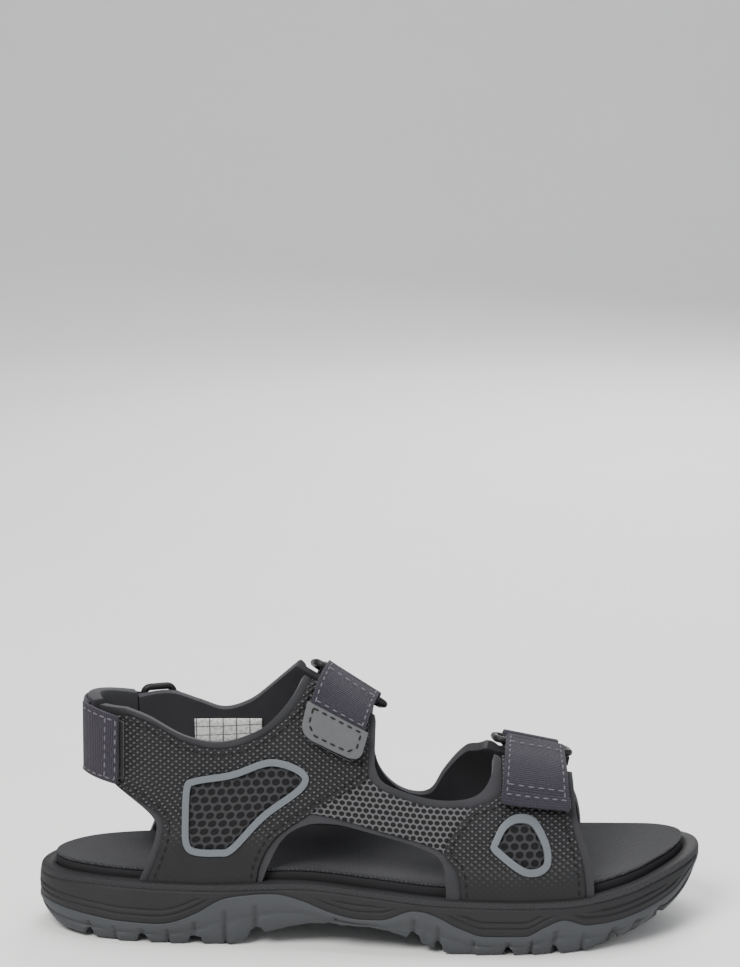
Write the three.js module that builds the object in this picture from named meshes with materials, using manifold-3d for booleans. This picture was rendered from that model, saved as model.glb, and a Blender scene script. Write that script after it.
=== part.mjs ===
// Strappy sport sandal for the right foot: lugged sole, padded quarters and three hook-and-pile straps.
// Frame: millimetres, +X to the toe, +Y to the inner (medial) side of the foot, +Z up.
// The origin lies on the ground under the middle of the sole.
import * as THREE from 'three';
import { mergeVertices } from 'three/addons/utils/BufferGeometryUtils.js';
import Module from 'manifold-3d';

const wasm = await Module();
wasm.setup();

// ---------------------------------------------------------------- driving dimensions
// Overall sizes. The curves below are drawn for a sole of DRAWN_LENGTH and are stretched to these sizes.
const DRAWN_LENGTH = 295;
const soleLength = 295;
const widthFactor = 1;
const upperHeightFactor = 1;

// Sole
const endRoundness = 5.3;
const ledgeWidth = 7;
const cupWall = 4.5;
const soleSkin = 7;
const lugDepth = 4;
const trayDepth = 3;
const slotDepth = 4;
const footbedRise = 3.6;
const footbedClearance = 0.6;
const footbedChamfer = 0.9;
const heelDish = 2;
const coverThickness = 1.2;
const shankLength = 92;
const shankWidth = 24;
const shankThickness = 1.5;
const shankPlace = -35;
const shankDrop = 4.45;

// Layers of the upper, measured outwards from the foot
const gap = 0.3;
const liningThickness = 2.4;
const overlayThickness = 1.5;
const meshThickness = 0.8;
const frameThickness = 2.3;
const frameWidth = 3;
const labelThickness = 0.7;
const fastenerClearance = 0.6;
const pileThickness = 0.8;
const hookThickness = 1;
const webbingThickness = 1.5;
const pullTabThickness = 1.2;
const heelPadThickness = 5.1;
const heelSetIn = 21;

// Rings and the loops of webbing round them
const barRadius = 1.6;
const barClearance = 0.35;
const loopClearance = 0.75;
const ringCorner = 3;
const ringEndClearance = 2;

// Edges of the ears on either side of the strap openings
const lateralEarEdge = 9;
const medialEarEdge = 6.5;
const medialOverlayEdge = { rear: 17.5, front: 21 };

// ---------------------------------------------------------------- derived layers
const lengthFactor = soleLength / DRAWN_LENGTH;
const halfLength = soleLength / 2;
const overlayFrom = liningThickness + gap;
const overlayTo = overlayFrom + overlayThickness;
const pileFrom = overlayTo + fastenerClearance;
const pileTo = pileFrom + pileThickness;
const hookFrom = pileTo + gap;
const hookTo = hookFrom + hookThickness;
const flapFrom = hookTo + gap;
const flapTo = flapFrom + webbingThickness;
const heelWebbingFrom = heelPadThickness + gap;
const heelWebbingTo = heelWebbingFrom + webbingThickness;
const keeperFrom = overlayTo + gap;
const keeperTo = keeperFrom + webbingThickness;
const boreRadius = barRadius + barClearance;
const loopRadius = boreRadius + webbingThickness;
const barHeight = liningThickness + loopClearance + loopRadius;

const clamp = THREE.MathUtils.clamp;
const lerp = THREE.MathUtils.lerp;
const radians = THREE.MathUtils.degToRad;

// ---------------------------------------------------------------- curves along the foot
// Smooth curve through [x, value] points. It is level where it turns or runs flat.
function profile(points, factor = 1) {
  const last = points.length - 1;
  const slopes = points.map((point, i) => {
    const before = points[Math.max(i - 1, 0)];
    const after = points[Math.min(i + 1, last)];
    const turns = i > 0 && i < last && (point[1] - before[1]) * (after[1] - point[1]) <= 0;
    return turns ? 0 : (after[1] - before[1]) / (after[0] - before[0]);
  });
  return (x) => {
    const u = clamp(x / lengthFactor, points[0][0], points[last][0]);
    let i = 0;
    while (i < last - 1 && u > points[i + 1][0]) i += 1;
    const step = points[i + 1][0] - points[i][0];
    const t = (u - points[i][0]) / step;
    const start = (2 * t ** 3 - 3 * t ** 2 + 1) * points[i][1] + (t ** 3 - 2 * t ** 2 + t) * step * slopes[i];
    const end = (3 * t ** 2 - 2 * t ** 3) * points[i + 1][1] + (t ** 3 - t ** 2) * step * slopes[i + 1];
    return factor * (start + end);
  };
}

const LATERAL = -1;
const MEDIAL = 1;

// Plan of the sole: its middle line, and the distance from that line to each edge.
const middle = profile([[-147.5, 0], [40, 0], [100, 3], [147.5, 9]], widthFactor);
const lateralWidth = profile(
  [[-147.5, 37], [-110, 38.5], [-70, 39.5], [-30, 42.5], [5, 48.5], [40, 52], [75, 53.7], [105, 52.2], [147.5, 44]],
  widthFactor,
);
const medialWidth = profile(
  [[-147.5, 33], [-70, 35.5], [-30, 35], [0, 37.5], [30, 45.3], [60, 51.1], [90, 51.4], [115, 46], [147.5, 36]],
  widthFactor,
);

// Heights of the sole: underside of the lugs, top of the rubber, and top edge of the foam.
const underside = profile([
  [-147.5, 7.6], [-140, 3], [-128, 1.2], [-111, 0], [-64, 0], [-45, 6.2], [-25, 10.8], [-5, 11],
  [10, 8.6], [25, 3.4], [36, 0], [86, 0], [105, 3.2], [124, 8.6], [140, 15.7], [147.5, 25.5],
]);
const rubberTop = profile([
  [-147.5, 13.6], [-121, 10.9], [-107, 9.8], [-89, 10], [-76, 15], [-65, 21.5], [-53, 23.9], [-42, 24.7],
  [-30, 22.2], [-19, 18], [-8, 15.4], [4, 15.3], [19, 20], [27, 18.5], [39, 12.6], [50, 9.2], [67, 9.2],
  [76, 13.2], [84, 16], [95, 12.9], [105, 13.1], [115, 14.5], [124, 16.6], [134, 20], [141, 25.4], [147.5, 30],
]);
const foamTop = profile([
  [-147.5, 27], [-120, 28.5], [-76, 28], [-31, 30], [0, 28], [31, 25.3], [85, 24.5], [112, 27], [130, 30.5],
  [147.5, 33.5],
]);

// Crest line of the foot that the upper wraps. Behind the ankle it is the leg, so it runs up and away.
const drawnCrest = profile([
  [-147.5, 210], [-100, 190], [-80, 172], [-60, 148], [-40, 124], [-23, 111], [0, 96], [30, 83], [60, 75],
  [85, 69.5], [120, 60], [147.5, 50],
]);
const crest = (x) => lerp(foamTop(x), drawnCrest(x), upperHeightFactor);
const ankleLean = profile([[-147.5, 5], [-90, 5], [-60, 4.5], [-30, 1.5], [-10, 0], [147.5, 0]]);
const leanHeight = 60 * upperHeightFactor;
const heelHeight = 46 * upperHeightFactor;

const edgeWidth = (side, x) => (side === LATERAL ? lateralWidth(x) : medialWidth(x));
const endFactor = (x, half) => Math.sqrt(Math.max(0, 1 - Math.abs(x / half) ** endRoundness));
// The edge of the sole moved in by an inset all round, and by a trim at the sides alone.
const soleEdge = (side, x, inset, trim = 0) =>
  middle(x) + side * (edgeWidth(side, x) - inset - trim) * endFactor(x, halfLength - inset);

// ---------------------------------------------------------------- the foot surface
const heightAbove = (x, z) => Math.max(z - foamTop(x), 0);
const footHalf = (x, z) => {
  const climb = clamp(heightAbove(x, z) / heelHeight, 0, 1);
  return halfLength - ledgeWidth - (x < 0 ? heelSetIn * (3 - 2 * climb) * climb ** 2 : 0);
};
const footWidth = (side, x, z) => {
  const climb = clamp(heightAbove(x, z) / leanHeight, 0, 2);
  return edgeWidth(side, x) - ledgeWidth - ankleLean(x) * climb;
};
const climbTo = (x, z) => heightAbove(x, z) / (crest(x) - foamTop(x));

// Zero on the foot, growing outwards.
function footField(side, x, y, z) {
  const across = (y - middle(x)) / footWidth(side, x, z);
  const along = 1 - Math.abs(x / footHalf(x, z)) ** endRoundness;
  return across ** 2 - along * (1 - climbTo(x, z) ** 2);
}

function footNormal(side, p) {
  const h = 0.05;
  const slope = (dx, dy, dz) =>
    footField(side, p.x + dx, p.y + dy, p.z + dz) - footField(side, p.x - dx, p.y - dy, p.z - dz);
  return new THREE.Vector3(slope(h, 0, 0), slope(0, h, 0), slope(0, 0, h)).normalize();
}

function surfacePoint(side, x, z) {
  const round = Math.sqrt(Math.max(0, 1 - climbTo(x, z) ** 2));
  const y = middle(x) + side * footWidth(side, x, z) * endFactor(x, footHalf(x, z)) * round;
  const p = new THREE.Vector3(x, y, z);
  return { p, n: footNormal(side, p) };
}

const offsetPoint = (spot, height) => spot.p.clone().addScaledVector(spot.n, height);

// Drawn heights above the foam stretch with the upper; drawn lengths stretch with the sole.
function drawn(x, z) {
  const placedX = x * lengthFactor;
  const base = foamTop(placedX);
  return new THREE.Vector2(placedX, z <= base ? z : lerp(base, z, upperHeightFactor));
}

// ---------------------------------------------------------------- solids
function solidOf(points, triangles) {
  let volume = 0;
  for (const [a, b, c] of triangles) {
    volume += points[a].dot(points[b].clone().cross(points[c]));
  }
  const outward = volume > 0 ? triangles : triangles.map(([a, b, c]) => [a, c, b]);
  const mesh = new wasm.Mesh({
    numProp: 3,
    vertProperties: Float32Array.from(points.flatMap((p) => [p.x, p.y, p.z])),
    triVerts: Uint32Array.from(outward.flat()),
  });
  return new wasm.Manifold(mesh);
}

function solidFromGeometry(geometry) {
  geometry.deleteAttribute('normal');
  geometry.deleteAttribute('uv');
  const merged = mergeVertices(geometry, 1e-4);
  const place = merged.getAttribute('position');
  const points = [];
  for (let i = 0; i < place.count; i += 1) points.push(new THREE.Vector3().fromBufferAttribute(place, i));
  const triangles = [];
  for (let i = 0; i < merged.index.count; i += 3) triangles.push(Array.from(merged.index.array.slice(i, i + 3)));
  return solidOf(points, triangles);
}

// A sheet between two heights over a grid of surface spots.
function sheetSolid(grid, from, to) {
  const rows = grid.length;
  const columns = grid[0].length;
  const count = rows * columns;
  const points = [from, to].flatMap((height) => grid.flatMap((row) => row.map((spot) => offsetPoint(spot, height))));
  const at = (i, j) => i * columns + j;
  const triangles = [];
  const wall = (a, b) => triangles.push([a, b, b + count], [a, b + count, a + count]);
  for (let i = 0; i < rows - 1; i += 1) {
    for (let j = 0; j < columns - 1; j += 1) {
      const [a, b, c, d] = [at(i, j), at(i + 1, j), at(i + 1, j + 1), at(i, j + 1)];
      triangles.push([a, c, b], [a, d, c]);
      triangles.push([a + count, b + count, c + count], [a + count, c + count, d + count]);
    }
  }
  for (let i = 0; i < rows - 1; i += 1) {
    wall(at(i, 0), at(i + 1, 0));
    wall(at(i + 1, columns - 1), at(i, columns - 1));
  }
  for (let j = 0; j < columns - 1; j += 1) {
    wall(at(0, j + 1), at(0, j));
    wall(at(rows - 1, j), at(rows - 1, j + 1));
  }
  return solidOf(points, triangles);
}

// A body lofted through cross-sections, each a ring of the same number of [y, z] points.
// Both ends are closed by a fan from the ring's first point.
function loftSolid(stations, section) {
  const sections = stations.map((x) => section(x).map(([y, z]) => new THREE.Vector3(x, y, z)));
  const size = sections[0].length;
  const points = sections.flat();
  const triangles = [];
  for (let i = 0; i < sections.length - 1; i += 1) {
    for (let j = 0; j < size; j += 1) {
      const [a, b] = [i * size + j, i * size + ((j + 1) % size)];
      triangles.push([a, b, b + size], [a, b + size, a + size]);
    }
  }
  const lastRing = points.length - size;
  for (let j = 1; j < size - 1; j += 1) {
    triangles.push([0, j + 1, j], [lastRing, lastRing + j, lastRing + j + 1]);
  }
  return solidOf(points, triangles);
}

// ---------------------------------------------------------------- outlines in the side view
// An outline is a list of stretches, each a straight line or a smooth curve through its [x, z] points.
function outlinePoints(stretches) {
  const path = new THREE.Path();
  stretches.forEach((stretch, i) => {
    const placed = stretch.map(([x, z]) => drawn(x, z));
    if (i === 0) path.moveTo(placed[0].x, placed[0].y);
    else path.lineTo(placed[0].x, placed[0].y);
    if (placed.length === 2) path.lineTo(placed[1].x, placed[1].y);
    if (placed.length > 2) path.splineThru(placed.slice(1));
  });
  const points = path.getPoints(1);
  const spaced = points.filter((p, i) => i === 0 || p.distanceTo(points[i - 1]) > 0.05);
  return spaced.at(-1).distanceTo(spaced[0]) > 0.05 ? spaced : spaced.slice(0, -1);
}

// The outline moved inwards by a distance, or outwards where the distance is negative.
function insetPoints(points, distance) {
  const turn = THREE.ShapeUtils.isClockWise(points) ? -1 : 1;
  const size = points.length;
  return points.map((p, i) => {
    const before = p.clone().sub(points[(i + size - 1) % size]).normalize();
    const after = points[(i + 1) % size].clone().sub(p).normalize();
    const along = before.clone().add(after).normalize();
    const inwards = new THREE.Vector2(-along.y, along.x).multiplyScalar(turn);
    const spread = Math.max(0.5, along.dot(after));
    return p.clone().addScaledVector(inwards, distance / spread);
  });
}

// Everything inside an outline, on one side of the foot, from a distance off the middle outwards.
const PRISM_REACH = 90;
function prismSolid(points, side, nearEdge) {
  const shape = new THREE.Shape(points);
  const geometry = new THREE.ExtrudeGeometry(shape, { depth: PRISM_REACH, bevelEnabled: false, steps: 1 });
  geometry.rotateX(Math.PI / 2);
  geometry.translate(0, side === LATERAL ? -nearEdge : nearEdge + PRISM_REACH, 0);
  return solidFromGeometry(geometry);
}

// ---------------------------------------------------------------- rings, bars and loops of webbing
// Everything about one ring: its near bar, its far bar, and the frame they share.
function barFrame(origin, along, outward) {
  const u = along.clone().normalize();
  const v = outward.clone().cross(u).normalize();
  const n = u.clone().cross(v).normalize();
  return new THREE.Matrix4().makeBasis(u, v, n).setPosition(origin);
}

function closedTubeSolid(route, radius, sides, matrix) {
  const size = route.length;
  const points = [];
  route.forEach((p, i) => {
    const along = route[(i + 1) % size].clone().sub(route[(i + size - 1) % size]).normalize();
    const out = new THREE.Vector2(along.y, -along.x);
    for (let k = 0; k < sides; k += 1) {
      const angle = ((k + 0.5) * 2 * Math.PI) / sides;
      const reach = radius * Math.cos(angle);
      const spot = new THREE.Vector3(p.x + out.x * reach, p.y + out.y * reach, radius * Math.sin(angle));
      points.push(spot.applyMatrix4(matrix));
    }
  });
  const triangles = [];
  for (let i = 0; i < size; i += 1) {
    for (let k = 0; k < sides; k += 1) {
      const [a, b] = [i * sides + k, i * sides + ((k + 1) % sides)];
      const [c, d] = [((i + 1) % size) * sides + k, ((i + 1) % size) * sides + ((k + 1) % sides)];
      triangles.push([a, b, d], [a, d, c]);
    }
  }
  return solidOf(points, triangles);
}

// A closed rectangle of round rod with rounded corners. Its two long bars lie along u at v = 0 and v = span.
function ringSolid(matrix, length, span) {
  const half = length / 2;
  const corner = (u, v, start) =>
    [0, 1, 2].map((k) => {
      const angle = start + (k * Math.PI) / 4;
      return new THREE.Vector2(u + ringCorner * Math.cos(angle), v + ringCorner * Math.sin(angle));
    });
  const route = [
    ...corner(half - ringCorner, ringCorner, -Math.PI / 2),
    ...corner(half - ringCorner, span - ringCorner, 0),
    ...corner(ringCorner - half, span - ringCorner, Math.PI / 2),
    ...corner(ringCorner - half, ringCorner, Math.PI),
  ];
  return closedTubeSolid(route, barRadius, 8, matrix);
}

// A sleeve of webbing round a bar. The bar runs along u at v = 0.
function loopSolid(matrix, width) {
  const shape = new THREE.Shape();
  shape.absarc(0, 0, loopRadius, 0, 2 * Math.PI);
  const bore = new THREE.Path();
  bore.absarc(0, 0, boreRadius, 0, 2 * Math.PI);
  shape.holes.push(bore);
  const settings = { depth: width, bevelEnabled: false, steps: 1, curveSegments: 10 };
  const geometry = new THREE.ExtrudeGeometry(shape, settings);
  geometry.translate(0, 0, -width / 2);
  geometry.applyMatrix4(new THREE.Matrix4().set(0, 0, 1, 0, 1, 0, 0, 0, 0, 1, 0, 0, 0, 0, 0, 1));
  geometry.applyMatrix4(matrix);
  return solidFromGeometry(geometry);
}

function boreSolid(matrix, width) {
  const geometry = new THREE.CylinderGeometry(boreRadius, boreRadius, width, 16);
  geometry.rotateZ(Math.PI / 2);
  geometry.applyMatrix4(matrix);
  return solidFromGeometry(geometry);
}

// ---------------------------------------------------------------- grids of surface spots
const END_ANGLES = [3, 13, 24, 35, 46, 57];
const endFractions = END_ANGLES.map((angle) => Math.cos(radians(angle)) ** (2 / endRoundness));

function lengthFractions(inner, steps, ends) {
  const rear = ends.map((f) => -f);
  const between = Array.from({ length: steps + 1 }, (_, i) => lerp(-inner, inner, i / steps));
  return [...rear, ...between, ...ends.toReversed()];
}

const SOLE_FRACTIONS = lengthFractions(0.76, 26, endFractions);
const UPPER_FRACTIONS = lengthFractions(0.74, 16, endFractions.slice(1)).filter((f) => f < 0.76);
const UPPER_ROWS = 8;
const HIGHEST_UPPER = 118;

const highestUpper = (x) => Math.min(drawn(0, HIGHEST_UPPER).y, crest(x) - 0.5);

function upperSpot(side, fraction, row) {
  const flatX = fraction * (halfLength - ledgeWidth);
  let x = flatX;
  let z = foamTop(x);
  for (let pass = 0; pass < 4; pass += 1) {
    const base = foamTop(x);
    const top = Math.asin(clamp((highestUpper(x) - base) / (crest(x) - base), 0, 1));
    z = row < 0 ? base - slotDepth + gap : base + (crest(x) - base) * Math.sin((top * row) / UPPER_ROWS);
    x = fraction * footHalf(flatX, z);
  }
  return surfacePoint(side, x, z);
}

const upperGrids = new Map(
  [LATERAL, MEDIAL].map((side) => [
    side,
    UPPER_FRACTIONS.map((f) => Array.from({ length: UPPER_ROWS + 2 }, (_, row) => upperSpot(side, f, row - 1))),
  ]),
);

const panelSolid = (side, from, to, points, nearEdge) =>
  sheetSolid(upperGrids.get(side), from, to).intersect(prismSolid(points, side, nearEdge));

// ---------------------------------------------------------------- outlines of the panels
const BELOW_FOOT = 5;
const PAST_HEEL = -132;
const ABOVE_EAR = 121;

const outlines = {
  [LATERAL]: {
    lining: outlinePoints([
      [[-100.5, BELOW_FOOT], [-100.5, 27.9]],
      [[-100.5, 27.9], [-93.5, 46], [-94.5, 56], [-110.7, 67.8]],
      [[PAST_HEEL, 68.5], [PAST_HEEL, 101.5]],
      [[-106, 102.5], [-96.1, 99.4], [-80.6, 91.7], [-65, 89.2], [-50, 93.4], [-41.4, 99.4], [-32, 110],
        [-27, ABOVE_EAR]],
      [[0.5, ABOVE_EAR], [1.5, 78]],
      [[1.5, 78], [6.5, 71.1], [26, 64.6], [43, 64], [51.4, 69.1], [54, 80], [54, ABOVE_EAR]],
      [[88.2, ABOVE_EAR], [88.2, 70]],
      [[88.2, 70], [89.4, 54.9], [94.9, 38.1], [96.3, 25], [96.3, BELOW_FOOT]],
      [[33.3, BELOW_FOOT], [33.3, 25]],
      [[33.3, 25], [31.5, 40], [21.8, 46.3], [-0.4, 52.5], [-15.3, 55.6], [-28, 54.5], [-38.3, 47.3],
        [-46.5, 30], [-47, 22]],
      [[-47, 22], [-47, BELOW_FOOT]],
    ]),
    rearQuarter: outlinePoints([
      [[-97, BELOW_FOOT], [-97, 28]],
      [[-97, 28], [-90.3, 46], [-91.5, 57], [-109.2, 67.8]],
      [[PAST_HEEL, 69.5], [PAST_HEEL, 98.5]],
      [[-104, 99.5], [-94, 96], [-80.5, 88.8], [-65, 86], [-49, 90.3], [-37, 98.2], [-28.5, 109], [-23.5, ABOVE_EAR]],
      [[-2.5, ABOVE_EAR], [-1.5, 76]],
      [[-1.5, 73], [-13, 67.3], [-27, 59], [-41, 48.5], [-48, 36], [-50, 22]],
      [[-50, 22], [-50, BELOW_FOOT]],
    ]),
    frontQuarter: outlinePoints([
      [[40, BELOW_FOOT], [40, 25]],
      [[40, 25], [38.5, 36], [32.6, 45], [38, 54], [44.5, 60.5], [54, 63], [57, 70], [57.5, ABOVE_EAR]],
      [[85, ABOVE_EAR], [85, 70]],
      [[85, 70], [86.3, 54.9], [91, 38.1], [92.3, 25], [92.3, BELOW_FOOT]],
    ]),
    sideMesh: outlinePoints([
      [[-27, 60], [-27, 74]],
      [[-1, 74], [4, 69.5], [14, 65.3], [27, 61.8], [43, 61]],
      [[48, 57], [48, 44]],
      [[34, 43], [24.5, 47.5], [5.2, 52.8], [-10, 57], [-20, 59]],
    ]),
    rearWindow: outlinePoints([[[-81.3, 55], [-80.3, 70], [-76, 73.6], [-60, 76.6], [-43, 82], [-28.5, 77.5],
      [-28, 70], [-45, 57], [-59, 42.3], [-66, 40.2], [-77, 40.6], [-81, 45], [-81.3, 55]]]),
    frontWindow: outlinePoints([[[52, 46.5], [56.5, 54.2], [63, 57.2], [71, 55.4], [76.5, 47], [77.5, 39.9],
      [75, 36.2], [70, 34.8], [64, 36.4], [54, 43.6], [52, 46.5]]]),
  },
  [MEDIAL]: {
    lining: outlinePoints([
      [[-100.5, BELOW_FOOT], [-100.5, 27.9]],
      [[-100.5, 27.9], [-94, 46], [-94.5, 57], [-103, 64]],
      [[-103, 64], [-103, 98]],
      [[-103, 98], [-89, 99], [-76.3, 94.5], [-65.1, 90.7], [-53.8, 94.2], [-44.7, 101.8], [-34, 113],
        [-29, ABOVE_EAR]],
      [[0.5, ABOVE_EAR], [0.5, 78]],
      [[0.5, 78], [4, 62], [11, 52], [20, 46.6], [28.3, 47], [34.1, 57], [42.9, 69.5], [52, 77], [54, ABOVE_EAR]],
      [[88.2, ABOVE_EAR], [88.2, 70]],
      [[88.2, 70], [89.4, 54.9], [94.9, 38.1], [96.3, 25], [96.3, BELOW_FOOT]],
    ]),
    rearQuarter: outlinePoints([
      [[-97, BELOW_FOOT], [-97, 28]],
      [[-97, 28], [-90.5, 46], [-87, 58], [-82, 72], [-81.5, 94]],
      [[-81.5, 94], [-74, 90.8], [-64, 87.5], [-52.5, 91.3], [-42.5, 99.5], [-31, 111], [-26, ABOVE_EAR]],
      [[-2.5, ABOVE_EAR], [-2.5, 74]],
      [[-2.5, 74], [-10, 66], [-27, 57], [-41, 47], [-48, 36], [-50, 22]],
      [[-50, 22], [-50, BELOW_FOOT]],
    ]),
    frontQuarter: outlinePoints([
      [[34, BELOW_FOOT], [34, 25]],
      [[34, 25], [32.6, 45], [39, 57], [47, 67], [56, 73], [57.5, ABOVE_EAR]],
      [[85, ABOVE_EAR], [85, 70]],
      [[85, 70], [86.3, 54.9], [91, 38.1], [92.3, 25], [92.3, BELOW_FOOT]],
    ]),
    sideMesh: outlinePoints([
      [[-60, BELOW_FOOT], [-60, 74]],
      [[-2, 74], [1, 61], [9, 49.5], [19, 43.6], [31, 43], [40, 44]],
      [[45, 44], [45, BELOW_FOOT]],
    ]),
    rearWindow: outlinePoints([[[-66.3, 55], [-66, 68], [-62, 72.6], [-54, 75.6], [-43, 80], [-28.5, 76],
      [-28, 69], [-41, 57], [-50, 44], [-54, 41.2], [-61, 41], [-66, 46], [-66.3, 55]]]),
    frontWindow: outlinePoints([[[52, 46.5], [56.5, 54.2], [63, 57.2], [71, 55.4], [76.5, 47], [77.5, 39.9],
      [75, 36.2], [70, 34.8], [64, 36.4], [54, 43.6], [52, 46.5]]]),
  },
};

// ---------------------------------------------------------------- the scene
const sandal = new THREE.Group();
const looks = {
  rubber: { color: 0x55595c, roughness: 0.75, metalness: 0 },
  foam: { color: 0x232427, roughness: 0.85, metalness: 0 },
  board: { color: 0x4a4640, roughness: 0.8, metalness: 0 },
  footbed: { color: 0x1f2023, roughness: 0.9, metalness: 0 },
  knit: { color: 0x303135, roughness: 0.95, metalness: 0 },
  lining: { color: 0x2b2c30, roughness: 0.9, metalness: 0 },
  overlay: { color: 0x3a3b3e, roughness: 0.7, metalness: 0 },
  mesh: { color: 0x1b1c1e, roughness: 0.9, metalness: 0 },
  frame: { color: 0x7d868f, roughness: 0.5, metalness: 0 },
  webbing: { color: 0x46424d, roughness: 0.9, metalness: 0 },
  fastener: { color: 0x17171a, roughness: 0.95, metalness: 0 },
  plastic: { color: 0x141416, roughness: 0.45, metalness: 0 },
  tab: { color: 0x5b5c5f, roughness: 0.7, metalness: 0 },
  label: { color: 0xe8e8e4, roughness: 0.8, metalness: 0 },
};

function add(name, solid, look) {
  const { numProp, vertProperties, triVerts } = solid.getMesh();
  const place = new Float32Array((vertProperties.length / numProp) * 3);
  for (let i = 0; i < place.length / 3; i += 1) {
    place.set(vertProperties.subarray(i * numProp, i * numProp + 3), i * 3);
  }
  const geometry = new THREE.BufferGeometry();
  geometry.setAttribute('position', new THREE.BufferAttribute(place, 3));
  geometry.setIndex(new THREE.BufferAttribute(triVerts, 1));
  const mesh = new THREE.Mesh(geometry, new THREE.MeshStandardMaterial(looks[look]));
  mesh.name = name;
  sandal.add(mesh);
}

// ---------------------------------------------------------------- sole
// A solid of the sole's plan, inset from its edge. Its side is a list of [trim, share of the height].
function soleSolid(inset, low, high, side, dish = 0) {
  const stations = SOLE_FRACTIONS.map((f) => f * (halfLength - inset));
  return loftSolid(stations, (x) => {
    const edge = (which, [trim, share]) => [soleEdge(which, x, inset, trim), lerp(low(x), high(x), share)];
    const centre = [middle(x), high(x) - dish * endFactor(x, halfLength - inset)];
    const lateral = side.map((step) => edge(LATERAL, step)).toReversed();
    const medial = side.map((step) => edge(MEDIAL, step));
    return [centre, ...lateral, ...medial];
  });
}

const STRAIGHT_SIDE = [[0, 0], [0, 1]];

function grooveSolid(x, width, sweep) {
  const reach = 80;
  const plan = new THREE.Shape([
    new THREE.Vector2(x - width / 2, 0), new THREE.Vector2(x - width / 2 - sweep, reach),
    new THREE.Vector2(x + width / 2 - sweep, reach), new THREE.Vector2(x + width / 2, 0),
    new THREE.Vector2(x + width / 2 - sweep, -reach), new THREE.Vector2(x - width / 2 - sweep, -reach),
  ]);
  return new THREE.ExtrudeGeometry(plan, { depth: 2 * lugDepth, bevelEnabled: false, steps: 1 });
}

// Grooves between the lugs, as [place along the drawn sole, width, sweep of the chevron].
const GROOVES = [
  [-122, 4, 6], [-96.5, 5, 8], [-73, 6, 8], [-46, 6, 8], [24, 5, 8], [36, 3.5, 10], [66.5, 3.5, 10], [87, 3, 10],
  [112, 4, 10], [131, 3.5, 8],
];
const CENTRE_GROOVE = 5;

function outsole() {
  const flare = [[5.5, 0], [2.6, 0.22], [0.4, 0.62], [0, 0.8], [0, 1]];
  const cavityFloor = (x) => underside(x) + soleSkin;
  const cavityTop = (x) => Math.max(rubberTop(x), cavityFloor(x)) + 2;
  let solid = soleSolid(0, underside, rubberTop, flare);
  solid = solid.subtract(soleSolid(cupWall, cavityFloor, cavityTop, STRAIGHT_SIDE));
  for (const [place, width, sweep] of GROOVES) {
    const x = place * lengthFactor;
    const geometry = grooveSolid(x, width, sweep);
    geometry.translate(0, 0, underside(x) - lugDepth);
    solid = solid.subtract(solidFromGeometry(geometry));
  }
  for (const [from, to] of [[-112, -60], [44, 100]]) {
    const slot = new THREE.BoxGeometry((to - from) * lengthFactor, CENTRE_GROOVE, 2 * lugDepth);
    slot.translate(((from + to) / 2) * lengthFactor, middle(to), 0);
    solid = solid.subtract(solidFromGeometry(slot));
  }
  return solid;
}

const plugFloor = (x) => underside(x) + soleSkin + gap;
const trayFloor = (x) => foamTop(x) - trayDepth;
const shankHeight = trayFloor(shankPlace * lengthFactor) - shankDrop;

function shankSolid() {
  const geometry = new THREE.BoxGeometry(shankLength, shankWidth, shankThickness);
  geometry.translate(shankPlace * lengthFactor, 0, shankHeight);
  return solidFromGeometry(geometry);
}

// The foot of each panel stands in a slot cut in the ledge of the foam.
function slotSolid(side, from, to) {
  const points = outlinePoints([[[from, BELOW_FOOT], [from, 60]], [[to, 60], [to, BELOW_FOOT]]]);
  const grid = upperGrids.get(side).map((row) => {
    const foot = row[0].p.clone();
    const low = foot.clone().setZ(foot.z - gap);
    const high = foot.clone().setZ(foamTop(foot.x) + 1);
    const n = row[1].n.clone().setZ(0).normalize();
    return [{ p: low, n }, { p: high, n }];
  });
  return sheetSolid(grid, -gap, overlayTo + gap).intersect(prismSolid(points, side, 1));
}

function midsole() {
  const bulge = [[0.3, 0], [0, 0.3], [0.3, 0.65], [1.4, 1]];
  const lowEdge = (x) => rubberTop(x) + gap;
  const plugTop = (x) => Math.max(rubberTop(x), plugFloor(x)) + 1.5;
  let solid = soleSolid(0, lowEdge, foamTop, bulge);
  solid = solid.add(soleSolid(cupWall + gap, plugFloor, plugTop, STRAIGHT_SIDE));
  solid = solid.subtract(soleSolid(ledgeWidth, trayFloor, (x) => foamTop(x) + 3, STRAIGHT_SIDE));
  solid = solid.subtract(shankPocket());
  solid = solid.subtract(slotSolid(LATERAL, -101, -46.6)).subtract(slotSolid(LATERAL, 32.9, 96.7));
  return solid.subtract(slotSolid(MEDIAL, -101, 96.7));
}

// A pocket in the tray floor that opens upwards under the footbed.
function shankPocket() {
  const height = 12;
  const geometry = new THREE.BoxGeometry(shankLength + 2 * gap, shankWidth + 2 * gap, height);
  const floor = shankHeight - shankThickness / 2 - gap;
  geometry.translate(shankPlace * lengthFactor, 0, floor + height / 2);
  return solidFromGeometry(geometry);
}

const footbedTop = (x) => foamTop(x) + footbedRise;

function footbed() {
  const side = [[0.6, 0], [0, 0.25], [0, 0.8], [footbedChamfer, 1]];
  return soleSolid(ledgeWidth + footbedClearance, (x) => trayFloor(x) + gap, footbedTop, side, heelDish);
}

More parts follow.
